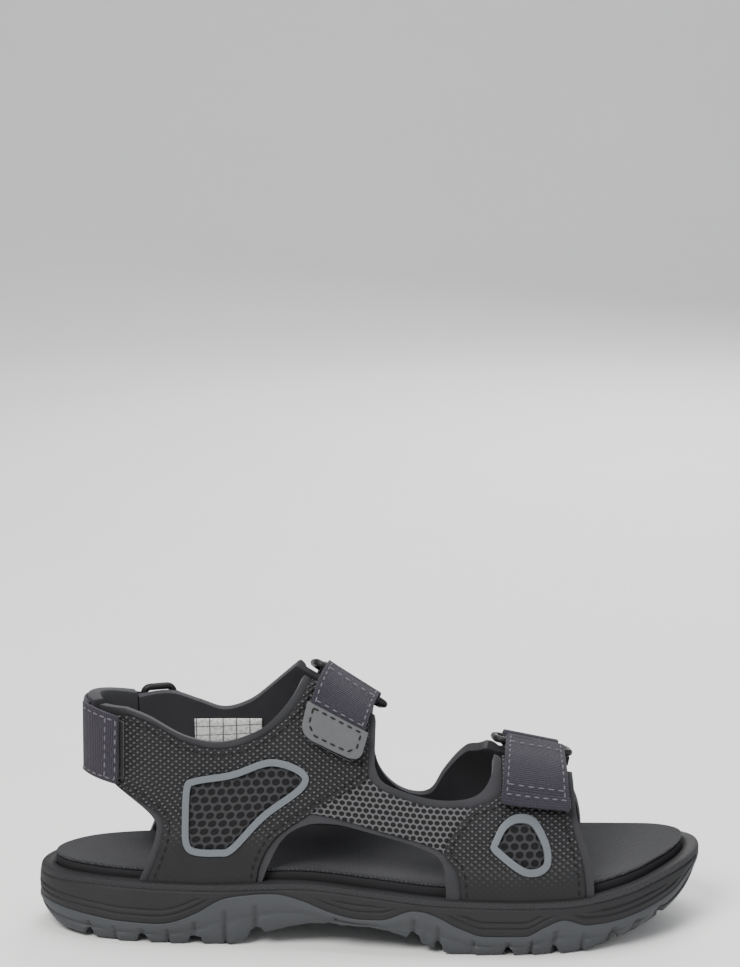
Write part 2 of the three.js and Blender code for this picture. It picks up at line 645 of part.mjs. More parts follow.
function footbedCover() {
  const inset = ledgeWidth + footbedClearance;
  const edge = (side, x) => soleEdge(side, x, inset, footbedChamfer);
  const stations = SOLE_FRACTIONS.map((f) => f * (halfLength - inset));
  return loftSolid(stations, (x) => {
    const low = footbedTop(x) + gap;
    const dish = heelDish * endFactor(x, halfLength - inset);
    return [
      [middle(x), low - dish],
      [edge(MEDIAL, x), low],
      [edge(MEDIAL, x), low + coverThickness],
      [middle(x), low - dish + coverThickness],
      [edge(LATERAL, x), low + coverThickness],
      [edge(LATERAL, x), low],
    ];
  });
}

function addSole() {
  add('outsole', outsole(), 'rubber');
  add('midsole', midsole(), 'foam');
  add('arch_shank', shankSolid(), 'board');
  add('footbed', footbed(), 'footbed');
  add('footbed_cover', footbedCover(), 'knit');
}

// ---------------------------------------------------------------- quarters and vamp
function addPanels(side, name) {
  const shapes = outlines[side];
  const ear = side === LATERAL ? lateralEarEdge : medialEarEdge;
  const rearEdge = side === LATERAL ? lateralEarEdge : medialOverlayEdge.rear;
  const frontEdge = side === LATERAL ? lateralEarEdge : medialOverlayEdge.front;
  const panel = (thickness, points, edge) => panelSolid(side, overlayFrom, overlayFrom + thickness, points, edge);
  const hole = (points) => prismSolid(points, side, 1);

  add(`${name}_lining`, panelSolid(side, 0, liningThickness, shapes.lining, ear), 'lining');
  for (const [place, edge] of [['rear', rearEdge], ['front', frontEdge]]) {
    const window = shapes[`${place}Window`];
    const frameInside = insetPoints(window, gap + frameWidth);
    const quarter = panel(overlayThickness, shapes[`${place}Quarter`], edge);
    const frame = panel(frameThickness, insetPoints(window, gap), 1);
    add(`${name}_${place}_quarter`, quarter.subtract(hole(window)), 'overlay');
    add(`${name}_${place}_window_frame`, frame.subtract(hole(frameInside)), 'frame');
    add(`${name}_${place}_window_mesh`, panel(meshThickness, insetPoints(frameInside, gap), 1), 'mesh');
  }
  const bridge = panel(meshThickness, shapes.sideMesh, 1);
  const clear = (points) => hole(insetPoints(points, -gap));
  add(`${name}_side_mesh`, bridge.subtract(clear(shapes.rearQuarter)).subtract(clear(shapes.frontQuarter)), 'mesh');
}

function addLabel() {
  const points = outlinePoints([[[-78.7, 75], [-78.7, 86.5]], [[-48.5, 86.5], [-48.5, 75]]]);
  add('size_label', panelSolid(MEDIAL, -gap - labelThickness, -gap, points, 1), 'label');
}

// ---------------------------------------------------------------- straps over the foot
// A spot on the foot at an angle round it: 0 at the lateral ledge, 90 at the crest, 180 at the medial ledge.
function wrapSpot(x, angle) {
  const side = angle <= 90 ? LATERAL : MEDIAL;
  const base = foamTop(x);
  const z = base + (crest(x) - base) * Math.sin(radians(angle));
  return surfacePoint(side, x, Math.min(z, crest(x) - 0.001));
}

// Across strap: rear and front edges in drawn X at the crest and at the low end, and the angles that it spans.
const straps = {
  instep: { topX: [-23.5, 0], lowX: [-29, -6.5], lowAngle: 47.5, nearAngle: 90, farAngle: 109, tailAngle: 138,
    pileLow: 45, tailStart: 3.5, tab: true },
  forefoot: { topX: [58.5, 84], lowX: [56, 85], lowAngle: 44, nearAngle: 91.5, farAngle: 106, tailAngle: 126,
    pileLow: 47, tailStart: 3.2, tab: false },
};

function strapEdges(strap, angle) {
  const share = clamp((strap.nearAngle - angle) / (strap.nearAngle - strap.lowAngle), 0, 1.2);
  return [0, 1].map((i) => lerp(strap.topX[i], strap.lowX[i], share) * lengthFactor);
}

// Grid over a stretch of a strap, its edges moved in by a margin.
function strapGrid(strap, fromAngle, toAngle, margin, steps = 6) {
  return Array.from({ length: steps + 1 }, (_, i) => {
    const angle = lerp(fromAngle, toAngle, i / steps);
    const [rear, front] = strapEdges(strap, angle);
    return Array.from({ length: 5 }, (__, j) => {
      const x = lerp(rear + margin, front - margin, j / 4);
      return { ...wrapSpot(x, angle), angle };
    });
  });
}

// The same sheet, with its height set row by row.
function tapered(grid, rise) {
  return grid.map((row) => row.map((spot) => ({ ...spot, p: offsetPoint(spot, rise(spot.angle)) })));
}

function strapBars(strap) {
  const x = ((strap.topX[0] + strap.topX[1]) / 2) * lengthFactor;
  const half = ((strap.topX[1] - strap.topX[0]) / 2) * lengthFactor;
  const near = wrapSpot(x, strap.nearAngle);
  const far = wrapSpot(x, strap.farAngle);
  const along = wrapSpot(x + half, strap.nearAngle).p.sub(wrapSpot(x - half, strap.nearAngle).p);
  const nearAt = offsetPoint(near, barHeight);
  const farAt = offsetPoint(far, barHeight);
  const u = along.clone().normalize();
  const across = farAt.clone().sub(nearAt);
  across.addScaledVector(u, -across.dot(u));
  const n = u.clone().cross(across).normalize();
  const width = along.length();
  return { nearFrame: barFrame(nearAt, u, n), u, n, span: across.length(), width, farAt: nearAt.clone().add(across) };
}

function addStrap(name, strap) {
  const { nearFrame, u, n, span, width, farAt } = strapBars(strap);
  const farFrame = barFrame(farAt, u, n);
  add(`${name}_ring`, ringSolid(nearFrame, width + 2 * (ringEndClearance + barRadius), span), 'plastic');

  const tailGrid = strapGrid(strap, strap.farAngle + strap.tailStart, strap.tailAngle, 0.5);
  const tail = sheetSolid(tailGrid, keeperFrom, keeperTo);
  const keeper = tail.add(loopSolid(farFrame, width - 1)).subtract(boreSolid(farFrame, width + 20));
  add(`${name}_ring_keeper`, keeper, 'webbing');

  const settle = 14;
  const loopTop = barHeight + loopRadius - webbingThickness - flapFrom;
  const rise = (angle) => loopTop * clamp(1 - (strap.nearAngle - angle) / settle, 0, 1) ** 2;
  const flapGrid = tapered(strapGrid(strap, strap.nearAngle, strap.lowAngle, 0, 9), rise);
  const flap = sheetSolid(flapGrid, flapFrom, flapTo).add(loopSolid(nearFrame, width - 1));
  add(`${name}_flap`, flap.subtract(boreSolid(nearFrame, width + 20)), 'webbing');

  const patchTop = strap.nearAngle - settle - 1;
  const hookGrid = strapGrid(strap, patchTop, strap.lowAngle + 2, 2.5);
  add(`${name}_hook_patch`, sheetSolid(hookGrid, hookFrom, hookTo), 'fastener');
  const pileGrid = strapGrid(strap, patchTop + 1, strap.pileLow, 2);
  add(`${name}_pile_patch`, sheetSolid(pileGrid, pileFrom, pileTo), 'fastener');
  if (strap.tab) {
    const tabGrid = strapGrid(strap, strap.lowAngle + 11, strap.lowAngle - 2.5, -1.5);
    add(`${name}_pull_tab`, sheetSolid(tabGrid, flapTo + gap, flapTo + gap + pullTabThickness), 'tab');
  }
}

// ---------------------------------------------------------------- heel strap
const heelStrap = { ringX: [-99.5, -87.5], low: 70, high: 103, taper: 5, hingeAngle: -12, frontAngle: -43 };

// A spot round the heel: 0 at the back, negative to the lateral side.
function heelSpot(angle, share, margin) {
  const bend = (angle / 50) ** 2;
  const low = drawn(PAST_HEEL, heelStrap.low).y - 2 * bend + margin;
  const high = drawn(PAST_HEEL, heelStrap.high).y - heelStrap.taper * bend - margin;
  const z = lerp(low, high, share);
  const side = angle < 0 ? LATERAL : MEDIAL;
  const along = Math.abs(Math.cos(radians(angle))) ** (2 / endRoundness);
  let x = -halfLength + ledgeWidth;
  for (let pass = 0; pass < 4; pass += 1) x = -footHalf(x, z) * along;
  return surfacePoint(side, x, z);
}

function heelGrid(from, to, margin) {
  const steps = Math.ceil(Math.abs(to - from) / 6);
  return Array.from({ length: steps + 1 }, (_, i) =>
    Array.from({ length: 5 }, (__, j) => heelSpot(lerp(from, to, i / steps), j / 4, margin)));
}

function heelBars() {
  const x = heelStrap.ringX.map((value) => value * lengthFactor);
  const middleX = (x[0] + x[1]) / 2;
  const [low, centre, high] = [68, 82, 96].map((z) => drawn(middleX, z).y);
  const u = surfacePoint(MEDIAL, middleX, high).p.sub(surfacePoint(MEDIAL, middleX, low).p).normalize();
  const rear = offsetPoint(surfacePoint(MEDIAL, x[0], centre), barHeight);
  const front = offsetPoint(surfacePoint(MEDIAL, x[1], centre), barHeight);
  const across = rear.clone().sub(front);
  across.addScaledVector(u, -across.dot(u));
  const n = u.clone().cross(across).normalize();
  return { u, n, span: across.length(), front, rear: front.clone().add(across) };
}

const HEEL_LOOP_LENGTH = 29;
const HEEL_BORE_LENGTH = 60;

function addHeelStrap() {
  const { u, n, span, front, rear } = heelBars();
  const [frontFrame, rearFrame] = [barFrame(front, u, n), barFrame(rear, u, n)];
  add('heel_ring', ringSolid(frontFrame, HEEL_LOOP_LENGTH + 2 * (ringEndClearance + barRadius), span), 'plastic');

  const tailStart = (front.x + (boreRadius + loopRadius) / 2) / lengthFactor;
  const tailPoints = outlinePoints([[[tailStart, 69], [tailStart, 93]], [[-71, 88.5], [-71, 71]]]);
  const tail = panelSolid(MEDIAL, keeperFrom, keeperTo, tailPoints, 1);
  const keeper = tail.add(loopSolid(frontFrame, HEEL_LOOP_LENGTH)).subtract(boreSolid(frontFrame, HEEL_BORE_LENGTH));
  add('heel_ring_keeper', keeper, 'webbing');

  const behind = (x) => {
    const points = outlinePoints([[[-170, 40], [-170, 140]], [[x, 140], [x, 40]]]);
    return prismSolid(points, MEDIAL, gap - lateralEarEdge);
  };
  const pad = sheetSolid(heelGrid(-24, 62, -1.5), 0, heelPadThickness);
  add('heel_pad', pad.intersect(behind(-104.4)), 'lining');
  const webbing = sheetSolid(heelGrid(-24, 62, 0), heelWebbingFrom, heelWebbingTo).intersect(behind(-101.8));
  add('heel_strap', webbing.add(loopSolid(rearFrame, HEEL_LOOP_LENGTH)).subtract(boreSolid(rearFrame, HEEL_BORE_LENGTH)), 'webbing');

  const { hingeAngle, frontAngle } = heelStrap;
  add('heel_strap_flap', sheetSolid(heelGrid(hingeAngle, frontAngle, 0), flapFrom, flapTo), 'webbing');
  add('heel_hook_patch', sheetSolid(heelGrid(hingeAngle - 10, frontAngle + 2, 3), hookFrom, hookTo), 'fastener');
  add('heel_pile_patch', sheetSolid(heelGrid(hingeAngle - 8, frontAngle - 1, 2.5), pileFrom, pileTo), 'fastener');
}

addSole();
addPanels(LATERAL, 'lateral');
addPanels(MEDIAL, 'medial');
addLabel();
addStrap('instep', straps.instep);
addStrap('forefoot', straps.forefoot);
addHeelStrap();

export default sandal;
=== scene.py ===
"""Strappy sport sandal for the right foot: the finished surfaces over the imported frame.

Everything is worked out in millimetres, in the frame's axes: +X toe, +Y inner side of the foot, +Z up.
MM turns it into metres when a mesh is made.
"""

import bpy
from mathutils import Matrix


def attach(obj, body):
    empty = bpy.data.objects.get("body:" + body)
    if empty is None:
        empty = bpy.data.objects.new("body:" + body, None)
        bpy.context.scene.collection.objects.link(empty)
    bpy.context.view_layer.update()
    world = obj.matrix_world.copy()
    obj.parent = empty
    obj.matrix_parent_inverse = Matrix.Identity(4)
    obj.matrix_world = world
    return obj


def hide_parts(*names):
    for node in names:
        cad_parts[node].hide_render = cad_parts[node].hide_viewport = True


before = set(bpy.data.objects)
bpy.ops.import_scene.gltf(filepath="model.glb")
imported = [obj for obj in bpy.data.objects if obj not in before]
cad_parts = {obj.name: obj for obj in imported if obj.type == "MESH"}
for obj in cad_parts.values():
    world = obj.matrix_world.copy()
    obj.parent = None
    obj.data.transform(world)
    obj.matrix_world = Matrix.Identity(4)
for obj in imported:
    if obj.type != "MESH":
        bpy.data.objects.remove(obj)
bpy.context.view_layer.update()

import math

import bmesh
import bpy
import numpy as np
from mathutils import Vector
from mathutils.geometry import delaunay_2d_cdt

MM = 0.001
LATERAL, MEDIAL = -1, 1
SIDES = {"lateral": LATERAL, "medial": MEDIAL}
ROOT = "sandal_body"

# ------------------------------------------------------------------ sizes shared with the frame
HALF_LENGTH = 147.5
END_ROUNDNESS = 5.3
LEDGE = 7.0
HEEL_SET_IN = 21.0
HEEL_HEIGHT = 46.0
LEAN_HEIGHT = 60.0
GAP = 0.3
LINING = 2.4
OVERLAY = (2.7, 4.2)
MESH = (2.7, 3.5)
WINDOW_FRAME = (2.7, 5.0)
KEEPER = (4.5, 6.0)
PILE = (4.25, 5.6)
HOOK = (5.9, 7.15)
FLAP = (7.2, 8.7)
TAB = (9.0, 10.2)
HEEL_PAD = 5.1
HEEL_WEBBING = (5.4, 6.9)
BAR_RADIUS = 1.6
BORE_RADIUS = 1.95
LOOP_RADIUS = 3.45
BAR_HEIGHT = 6.6
FOOTBED_RISE = 3.6
COVER = 1.2
HEEL_DISH = 2.0


def profile(points):
    """Smooth curve through [x, value] points, level where it turns or runs flat."""
    xs, vs = np.array(points, float).T
    slopes = np.zeros(len(xs))
    for i in range(len(xs)):
        a, b = max(i - 1, 0), min(i + 1, len(xs) - 1)
        turns = 0 < i < len(xs) - 1 and (vs[i] - vs[a]) * (vs[b] - vs[i]) <= 0
        slopes[i] = 0 if turns else (vs[b] - vs[a]) / (xs[b] - xs[a])

    def curve(x):
        x = np.clip(np.asarray(x, float), xs[0], xs[-1])
        i = np.clip(np.searchsorted(xs, x, side="left") - 1, 0, len(xs) - 2)
        step = xs[i + 1] - xs[i]
        t = (x - xs[i]) / step
        start = (2 * t**3 - 3 * t**2 + 1) * vs[i] + (t**3 - 2 * t**2 + t) * step * slopes[i]
        end = (3 * t**2 - 2 * t**3) * vs[i + 1] + (t**3 - t**2) * step * slopes[i + 1]
        return start + end

    return curve


middle = profile([(-147.5, 0), (40, 0), (100, 3), (147.5, 9)])
lateral_width = profile([(-147.5, 37), (-110, 38.5), (-70, 39.5), (-30, 42.5), (5, 48.5), (40, 52),
                         (75, 53.7), (105, 52.2), (147.5, 44)])
medial_width = profile([(-147.5, 33), (-70, 35.5), (-30, 35), (0, 37.5), (30, 45.3), (60, 51.1),
                        (90, 51.4), (115, 46), (147.5, 36)])
underside = profile([(-147.5, 7.6), (-140, 3), (-128, 1.2), (-111, 0), (-64, 0), (-45, 6.2), (-25, 10.8),
                     (-5, 11), (10, 8.6), (25, 3.4), (36, 0), (86, 0), (105, 3.2), (124, 8.6), (140, 15.7),
                     (147.5, 25.5)])
rubber_top = profile([(-147.5, 13.6), (-121, 10.9), (-107, 9.8), (-89, 10), (-76, 15), (-65, 21.5),
                      (-53, 23.9), (-42, 24.7), (-30, 22.2), (-19, 18), (-8, 15.4), (4, 15.3), (19, 20),
                      (27, 18.5), (39, 12.6), (50, 9.2), (67, 9.2), (76, 13.2), (84, 16), (95, 12.9),
                      (105, 13.1), (115, 14.5), (124, 16.6), (134, 20), (141, 25.4), (147.5, 30)])
foam_top = profile([(-147.5, 27), (-120, 28.5), (-76, 28), (-31, 30), (0, 28), (31, 25.3), (85, 24.5),
                    (112, 27), (130, 30.5), (147.5, 33.5)])
crest = profile([(-147.5, 210), (-100, 190), (-80, 172), (-60, 148), (-40, 124), (-23, 111), (0, 96),
                 (30, 83), (60, 75), (85, 69.5), (120, 60), (147.5, 50)])
ankle_lean = profile([(-147.5, 5), (-90, 5), (-60, 4.5), (-30, 1.5), (-10, 0), (147.5, 0)])


def edge_width(side, x):
    return lateral_width(x) if side == LATERAL else medial_width(x)


def end_factor(x, half):
    return np.sqrt(np.clip(1 - np.abs(x / half) ** END_ROUNDNESS, 0, 1))


def sole_edge(side, x, inset, trim=0.0):
    return middle(x) + side * (edge_width(side, x) - inset - trim) * end_factor(x, HALF_LENGTH - inset)


# ------------------------------------------------------------------ the foot surface
def foot_half(x, z):
    climb = np.clip((z - foam_top(x)) / HEEL_HEIGHT, 0, 1)
    return HALF_LENGTH - LEDGE - np.where(x < 0, HEEL_SET_IN * (3 - 2 * climb) * climb**2, 0)


def foot_width(side, x, z):
    climb = np.clip((z - foam_top(x)) / LEAN_HEIGHT, 0, 2)
    return edge_width(side, x) - LEDGE - ankle_lean(x) * climb


def climb_to(x, z):
    return np.maximum(z - foam_top(x), 0) / (crest(x) - foam_top(x))


def foot_field(side, x, y, z):
    across = (y - middle(x)) / foot_width(side, x, z)
    along = 1 - np.abs(x / foot_half(x, z)) ** END_ROUNDNESS
    return across**2 - along * (1 - climb_to(x, z) ** 2)


def foot_normal(side, x, y, z):
    h = 0.05
    slopes = np.stack([
        foot_field(side, x + h, y, z) - foot_field(side, x - h, y, z),
        foot_field(side, x, y + h, z) - foot_field(side, x, y - h, z),
        foot_field(side, x, y, z + h) - foot_field(side, x, y, z - h),
    ], axis=-1)
    return slopes / np.linalg.norm(slopes, axis=-1, keepdims=True)


def on_foot(side, x, z, height=0.0):
    """Points at a height off the foot, where the foot's own surface is at x and z."""
    x, z = np.broadcast_arrays(np.asarray(x, float), np.asarray(z, float))
    around = np.sqrt(np.clip(1 - climb_to(x, z) ** 2, 0, 1))
    y = middle(x) + side * foot_width(side, x, z) * end_factor(x, foot_half(x, z)) * around
    return np.stack([x, y, z], axis=-1) + foot_normal(side, x, y, z) * np.asarray(height)[..., None]


# A spot on one side of the foot is (a, b): a runs along the length and round the heel, in millimetres,
# and b is the angle from the ledge, 0, to the crest, 90 degrees. Below the ledge b is in millimetres.
END_ARC = np.linspace(0, 1, 400)
END_ALONG = np.sin(END_ARC * math.pi / 2) ** (2 / END_ROUNDNESS)
ARC_STEPS = np.hypot(np.diff(END_ALONG) * 121, np.diff(np.cos(END_ARC * math.pi / 2)) * 29)
ARC_LENGTH = np.concatenate([[0], np.cumsum(ARC_STEPS)])


def spot_of(x, z):
    rise = np.clip((z - foam_top(x)) / (crest(x) - foam_top(x)), -1, 0.9995)
    b = np.where(z < foam_top(x), z - foam_top(x), np.degrees(np.arcsin(rise)))
    share = np.clip(-x / foot_half(x, z), 0, 1)
    return np.where(x < 0, -np.interp(share, END_ALONG, ARC_LENGTH), x), b


def xz_of(a, b):
    share = np.interp(-a, ARC_LENGTH, END_ALONG)
    x = np.where(a < 0, -share * 121, a)
    for _ in range(5):
        base = foam_top(x)
        z = np.where(b < 0, base + b, base + (crest(x) - base) * np.sin(np.radians(np.maximum(b, 0))))
        x = np.where(a < 0, -share * foot_half(x, z), a)
    return x, z


def lift_off(side, a, b, height):
    x, z = xz_of(a, b)
    return on_foot(side, x, z, height)


# ------------------------------------------------------------------ meshes
def new_object(name, points, faces, uvs=None, smooth=True):
    mesh = bpy.data.meshes.new(name)
    mesh.from_pydata([tuple(p) for p in np.asarray(points) * MM], [], faces)
    if uvs is not None:
        layer = mesh.uv_layers.new(name="cloth")
        corners = np.asarray([v for f in faces for v in f])
        layer.data.foreach_set("uv", np.asarray(uvs, float)[corners].ravel())
    mesh.polygons.foreach_set("use_smooth", [smooth] * len(mesh.polygons))
    mesh.update()
    obj = bpy.data.objects.new(name, mesh)
    bpy.context.scene.collection.objects.link(obj)
    return obj


def apply_modifiers(obj):
    depsgraph = bpy.context.evaluated_depsgraph_get()
    mesh = bpy.data.meshes.new_from_object(obj.evaluated_get(depsgraph))
    obj.modifiers.clear()
    obj.data = mesh
    return obj


def round_edges(obj, width, segments=2):
    bevel = obj.modifiers.new("edge", "BEVEL")
    bevel.width = width * MM
    bevel.segments = segments
    bevel.limit_method = "ANGLE"
    bevel.angle_limit = math.radians(50)
    bevel.use_clamp_overlap = True
    apply_modifiers(obj)
    for polygon in obj.data.polygons:
        polygon.use_smooth = True


def grid_faces(rows, columns, wrap=False):
    faces = []
    for i in range(rows - 1):
        for j in range(columns if wrap else columns - 1):
            k = (j + 1) % columns
            faces.append((i * columns + j, (i + 1) * columns + j, (i + 1) * columns + k, i * columns + k))
    return faces


def face_outwards(obj):
    edit = bmesh.new()
    edit.from_mesh(obj.data)
    bmesh.ops.recalc_face_normals(edit, faces=edit.faces)
    edit.to_mesh(obj.data)
    edit.free()
    return obj


def closed_sheet(name, inner, outer, faces, uvs, edge=0.4, segments=2):
    """A closed sheet between two layers of points that share their faces, with rounded edges."""
    count = len(inner)
    sides = {(f[i], f[(i + 1) % len(f)]) for f in faces for i in range(len(f))}
    walls = [(a, b, b + count, a + count) for a, b in sides if (b, a) not in sides]
    under = [tuple(reversed(f)) for f in faces]
    over = [tuple(v + count for v in f) for f in faces]
    obj = new_object(name, np.concatenate([inner, outer]), under + over + walls, np.concatenate([uvs, uvs]))
    face_outwards(obj)
    round_edges(obj, edge, segments)
    return obj


def grid_sheet(name, inner, outer, uvs, edge=0.4, segments=2):
    faces = grid_faces(*inner.shape[:2])
    return closed_sheet(name, inner.reshape(-1, 3), outer.reshape(-1, 3), faces, np.asarray(uvs, float).reshape(-1, 2),
                        edge, segments)


def shell(name, rows, uvs):
    """A closed solid through rings of points. Rings whose points meet are welded."""
    count = rows[0].shape[0]
    obj = new_object(name, np.concatenate(rows), grid_faces(len(rows), count, wrap=True), np.concatenate(uvs))
    edit = bmesh.new()
    edit.from_mesh(obj.data)
    bmesh.ops.remove_doubles(edit, verts=edit.verts, dist=1e-5)
    bmesh.ops.recalc_face_normals(edit, faces=edit.faces)
    edit.to_mesh(obj.data)
    edit.free()
    return obj


def finish_piece(obj, material, body=ROOT, replaces=()):
    obj.data.materials.clear()
    obj.data.materials.append(material)
    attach(obj, body)
    for node in replaces:
        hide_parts(node)
    return obj


# ------------------------------------------------------------------ materials
class Shader:
    """A material's node tree, built a node at a time."""

    def __init__(self, name, roughness=0.8, specular=0.4, sheen=0.0):
        self.material = bpy.data.materials.new(name)
        self.material.use_nodes = True
        self.tree = self.material.node_tree
        self.surface = self.tree.nodes["Principled BSDF"]
        self.surface.inputs["Roughness"].default_value = roughness
        self.surface.inputs["Specular IOR Level"].default_value = specular
        self.surface.inputs["Sheen Weight"].default_value = sheen

    def link(self, source, target):
        if hasattr(source, "node"):
            self.tree.links.new(source, target)
        elif source is not None:
            target.default_value = source

    def node(self, kind, values=(), **settings):
        made = self.tree.nodes.new(kind)
        for key, value in settings.items():
            setattr(made, key, value)
        for key, value in dict(values).items():
            self.link(value, made.inputs[key])
        return made

    def math(self, operation, a, b=None):
        made = self.node("ShaderNodeMath", operation=operation)
        self.link(a, made.inputs[0])
        self.link(b, made.inputs[1])
        return made.outputs[0]

    def cloth(self):
        split = self.node("ShaderNodeSeparateXYZ")
        uv = self.node("ShaderNodeUVMap", uv_map="cloth")
        self.tree.links.new(uv.outputs[0], split.inputs[0])
        return split.outputs[0], split.outputs[1]

    def place(self):
        return self.node("ShaderNodeTexCoord").outputs["Object"]

    def height_above_ground(self):
        split = self.node("ShaderNodeSeparateXYZ")
        self.tree.links.new(self.place(), split.inputs[0])
        return self.math("MULTIPLY", split.outputs[2], 1000.0)

    def noise(self, scale, detail=3.0):
        return self.node("ShaderNodeTexNoise", {
            "Vector": self.place(), "Scale": scale, "Detail": detail}).outputs["Fac"]

    def blend(self, factor, dark, light):
        mix = self.node("ShaderNodeMix", data_type="RGBA")
        self.link(factor, mix.inputs[0])
        self.link(dark if hasattr(dark, "node") else (*dark, 1), mix.inputs[6])
        self.link(light if hasattr(light, "node") else (*light, 1), mix.inputs[7])
        return mix.outputs[2]

    def step(self, value, low, high):
        return self.node("ShaderNodeMapRange", {0: value, 1: low, 2: high}, interpolation_type="SMOOTHSTEP").outputs[0]

    def ripple(self, value, period):
        turn = self.math("SINE", self.math("MULTIPLY", value, 2 * math.pi / period))
        return self.math("ADD", self.math("MULTIPLY", turn, 0.5), 0.5)

    def finish(self, color, height=None, depth_mm=0.2, roughness=None, strength=1.0):
        self.link(color if hasattr(color, "node") else (*color, 1), self.surface.inputs["Base Color"])
        if roughness is not None:
            self.link(roughness, self.surface.inputs["Roughness"])
        if height is not None:
            bump = self.node("ShaderNodeBump", {"Height": height})
            bump.inputs["Strength"].default_value = strength
            bump.inputs["Distance"].default_value = depth_mm * MM
            self.tree.links.new(bump.outputs[0], self.surface.inputs["Normal"])
        return self.material


def moulded(name, dark, light, grain=900.0, depth=0.05, roughness=0.6, specular=0.4):
    """Moulded rubber, foam or plastic: fine grain, and slow changes of tone."""
    s = Shader(name, roughness, specular)
    fine = s.noise(grain, 4.0)
    slow = s.noise(30.0, 2.0)
    tone = s.math("ADD", s.math("MULTIPLY", slow, 0.7), s.math("MULTIPLY", fine, 0.3))
    rough = s.math("ADD", s.math("MULTIPLY", slow, 0.2), roughness - 0.1)
    return s.finish(s.blend(tone, dark, light), fine, depth, rough)


def embossed_overlay():
    """Synthetic leather with raised scales that fade out towards the sole; the scales' tops are painted lighter as a
    highlight.
    """
    s = Shader("overlay_scales", 0.55, 0.35)
    u, v = s.cloth()
    p = s.math("ADD", s.math("DIVIDE", u, 3.4), s.math("DIVIDE", v, 2.7))
    q = s.math("SUBTRACT", s.math("DIVIDE", u, 3.4), s.math("DIVIDE", v, 2.7))
    centred = [s.math("ABSOLUTE", s.math("SUBTRACT", s.math("FRACT", w), 0.5)) for w in (p, q)]
    scale = s.math("SUBTRACT", 1.0, s.math("MULTIPLY", s.math("MAXIMUM", *centred), 2.0))
    raised = s.step(scale, 0.05, 0.75)
    up = s.height_above_ground()
    ragged = s.math("ADD", up, s.math("MULTIPLY", s.noise(60.0), 10.0))
    ragged = s.math("ADD", ragged, s.math("MULTIPLY", s.step(u, 0.0, 50.0), 13.0))
    shown = s.step(ragged, 46.0, 66.0)
    height = s.math("MULTIPLY", raised, shown)
    grain = s.noise(1500.0)
    # Painted highlight: the tops of the scales are coloured lighter, fading out with the scales towards the sole.
    painted_tip_highlight = s.math("MULTIPLY", s.step(scale, 0.35, 0.95), s.math("ADD", s.math("MULTIPLY", shown, 0.9), 0.02))
    base = s.blend(s.noise(45.0), (0.0045, 0.0045, 0.0055), (0.0095, 0.0097, 0.0108))
    color = s.blend(painted_tip_highlight, base, (0.086, 0.087, 0.092))
    total = s.math("ADD", height, s.math("MULTIPLY", grain, 0.12))
    rough = s.math("ADD", s.math("MULTIPLY", grain, 0.2), 0.48)
    return s.finish(color, total, 0.6, rough)


def neoprene():
    s = Shader("lining_neoprene", 0.85, 0.2, 0.08)
    fine = s.noise(2600.0)
    color = s.blend(s.noise(50.0), (0.024, 0.024, 0.027), (0.044, 0.044, 0.049))
    return s.finish(color, fine, 0.06)


def spacer_mesh(name, cell, strand, hole):
    """Open mesh: rows of rounded holes, each row shifted by half a hole. The holes are painted near black as the shade
    seen through them.
    """
    s = Shader(name, 0.75, 0.35)
    u, v = s.cloth()
    row = s.math("DIVIDE", v, cell * 0.8)
    shift = s.math("MULTIPLY", s.math("MODULO", s.math("FLOOR", row), 2.0), 0.5)
    across = s.math("SUBTRACT", s.math("FRACT", s.math("ADD", s.math("DIVIDE", u, cell), shift)), 0.5)
    up = s.math("SUBTRACT", s.math("FRACT", row), 0.5)
    reach = s.math("SQRT", s.math("ADD", s.math("POWER", s.math("ABSOLUTE", across), 2.0),
                                  s.math("MULTIPLY", s.math("POWER", s.math("ABSOLUTE", up), 2.0), 0.85)))
    solid = s.step(reach, 0.31, 0.44)
    thread = s.ripple(s.math("ADD", u, v), 0.55)
    # The hole colour is painted shade: the openings are drawn dark on a solid sheet.
    color = s.blend(solid, hole, s.blend(thread, tuple(c * 0.55 for c in strand), strand))
    height = s.math("ADD", solid, s.math("MULTIPLY", thread, 0.15))
    return s.finish(color, height, 0.9)


def webbing():
    """Woven strap: ribs across it, fine threads along it, and odd lighter flecks."""
    s = Shader("webbing_weave", 0.85, 0.2, 0.1)
    u, v = s.cloth()
    ribs = s.ripple(v, 1.15)
    threads = s.ripple(s.math("ADD", u, s.math("MULTIPLY", ribs, 0.2)), 0.7)
    weave = s.math("MULTIPLY", s.math("ADD", s.math("MULTIPLY", ribs, 0.65), 0.35), s.math("ADD", threads, 0.5))
    fleck = s.step(s.noise(1700.0, 2.0), 0.55, 0.75)
    tone = s.blend(s.noise(70.0), (0.026, 0.022, 0.032), (0.046, 0.040, 0.058))
    color = s.blend(s.math("MULTIPLY", fleck, 0.45), s.blend(weave, (0.010, 0.009, 0.013), tone), (0.085, 0.078, 0.102))
    return s.finish(color, weave, 0.28)


def knit_top():
    """Knitted top sheet of the footbed: a fine dotted grid."""
    s = Shader("footbed_knit", 0.92, 0.15, 0.05)
    u, v = s.cloth()
    dots = s.math("MULTIPLY", s.ripple(s.math("ADD", u, v), 1.9), s.ripple(s.math("SUBTRACT", u, v), 1.9))
    tone = s.blend(s.noise(40.0), (0.018, 0.018, 0.020), (0.030, 0.030, 0.033))
    color = s.blend(dots, tone, (0.060, 0.061, 0.065))
    return s.finish(color, dots, 0.10)


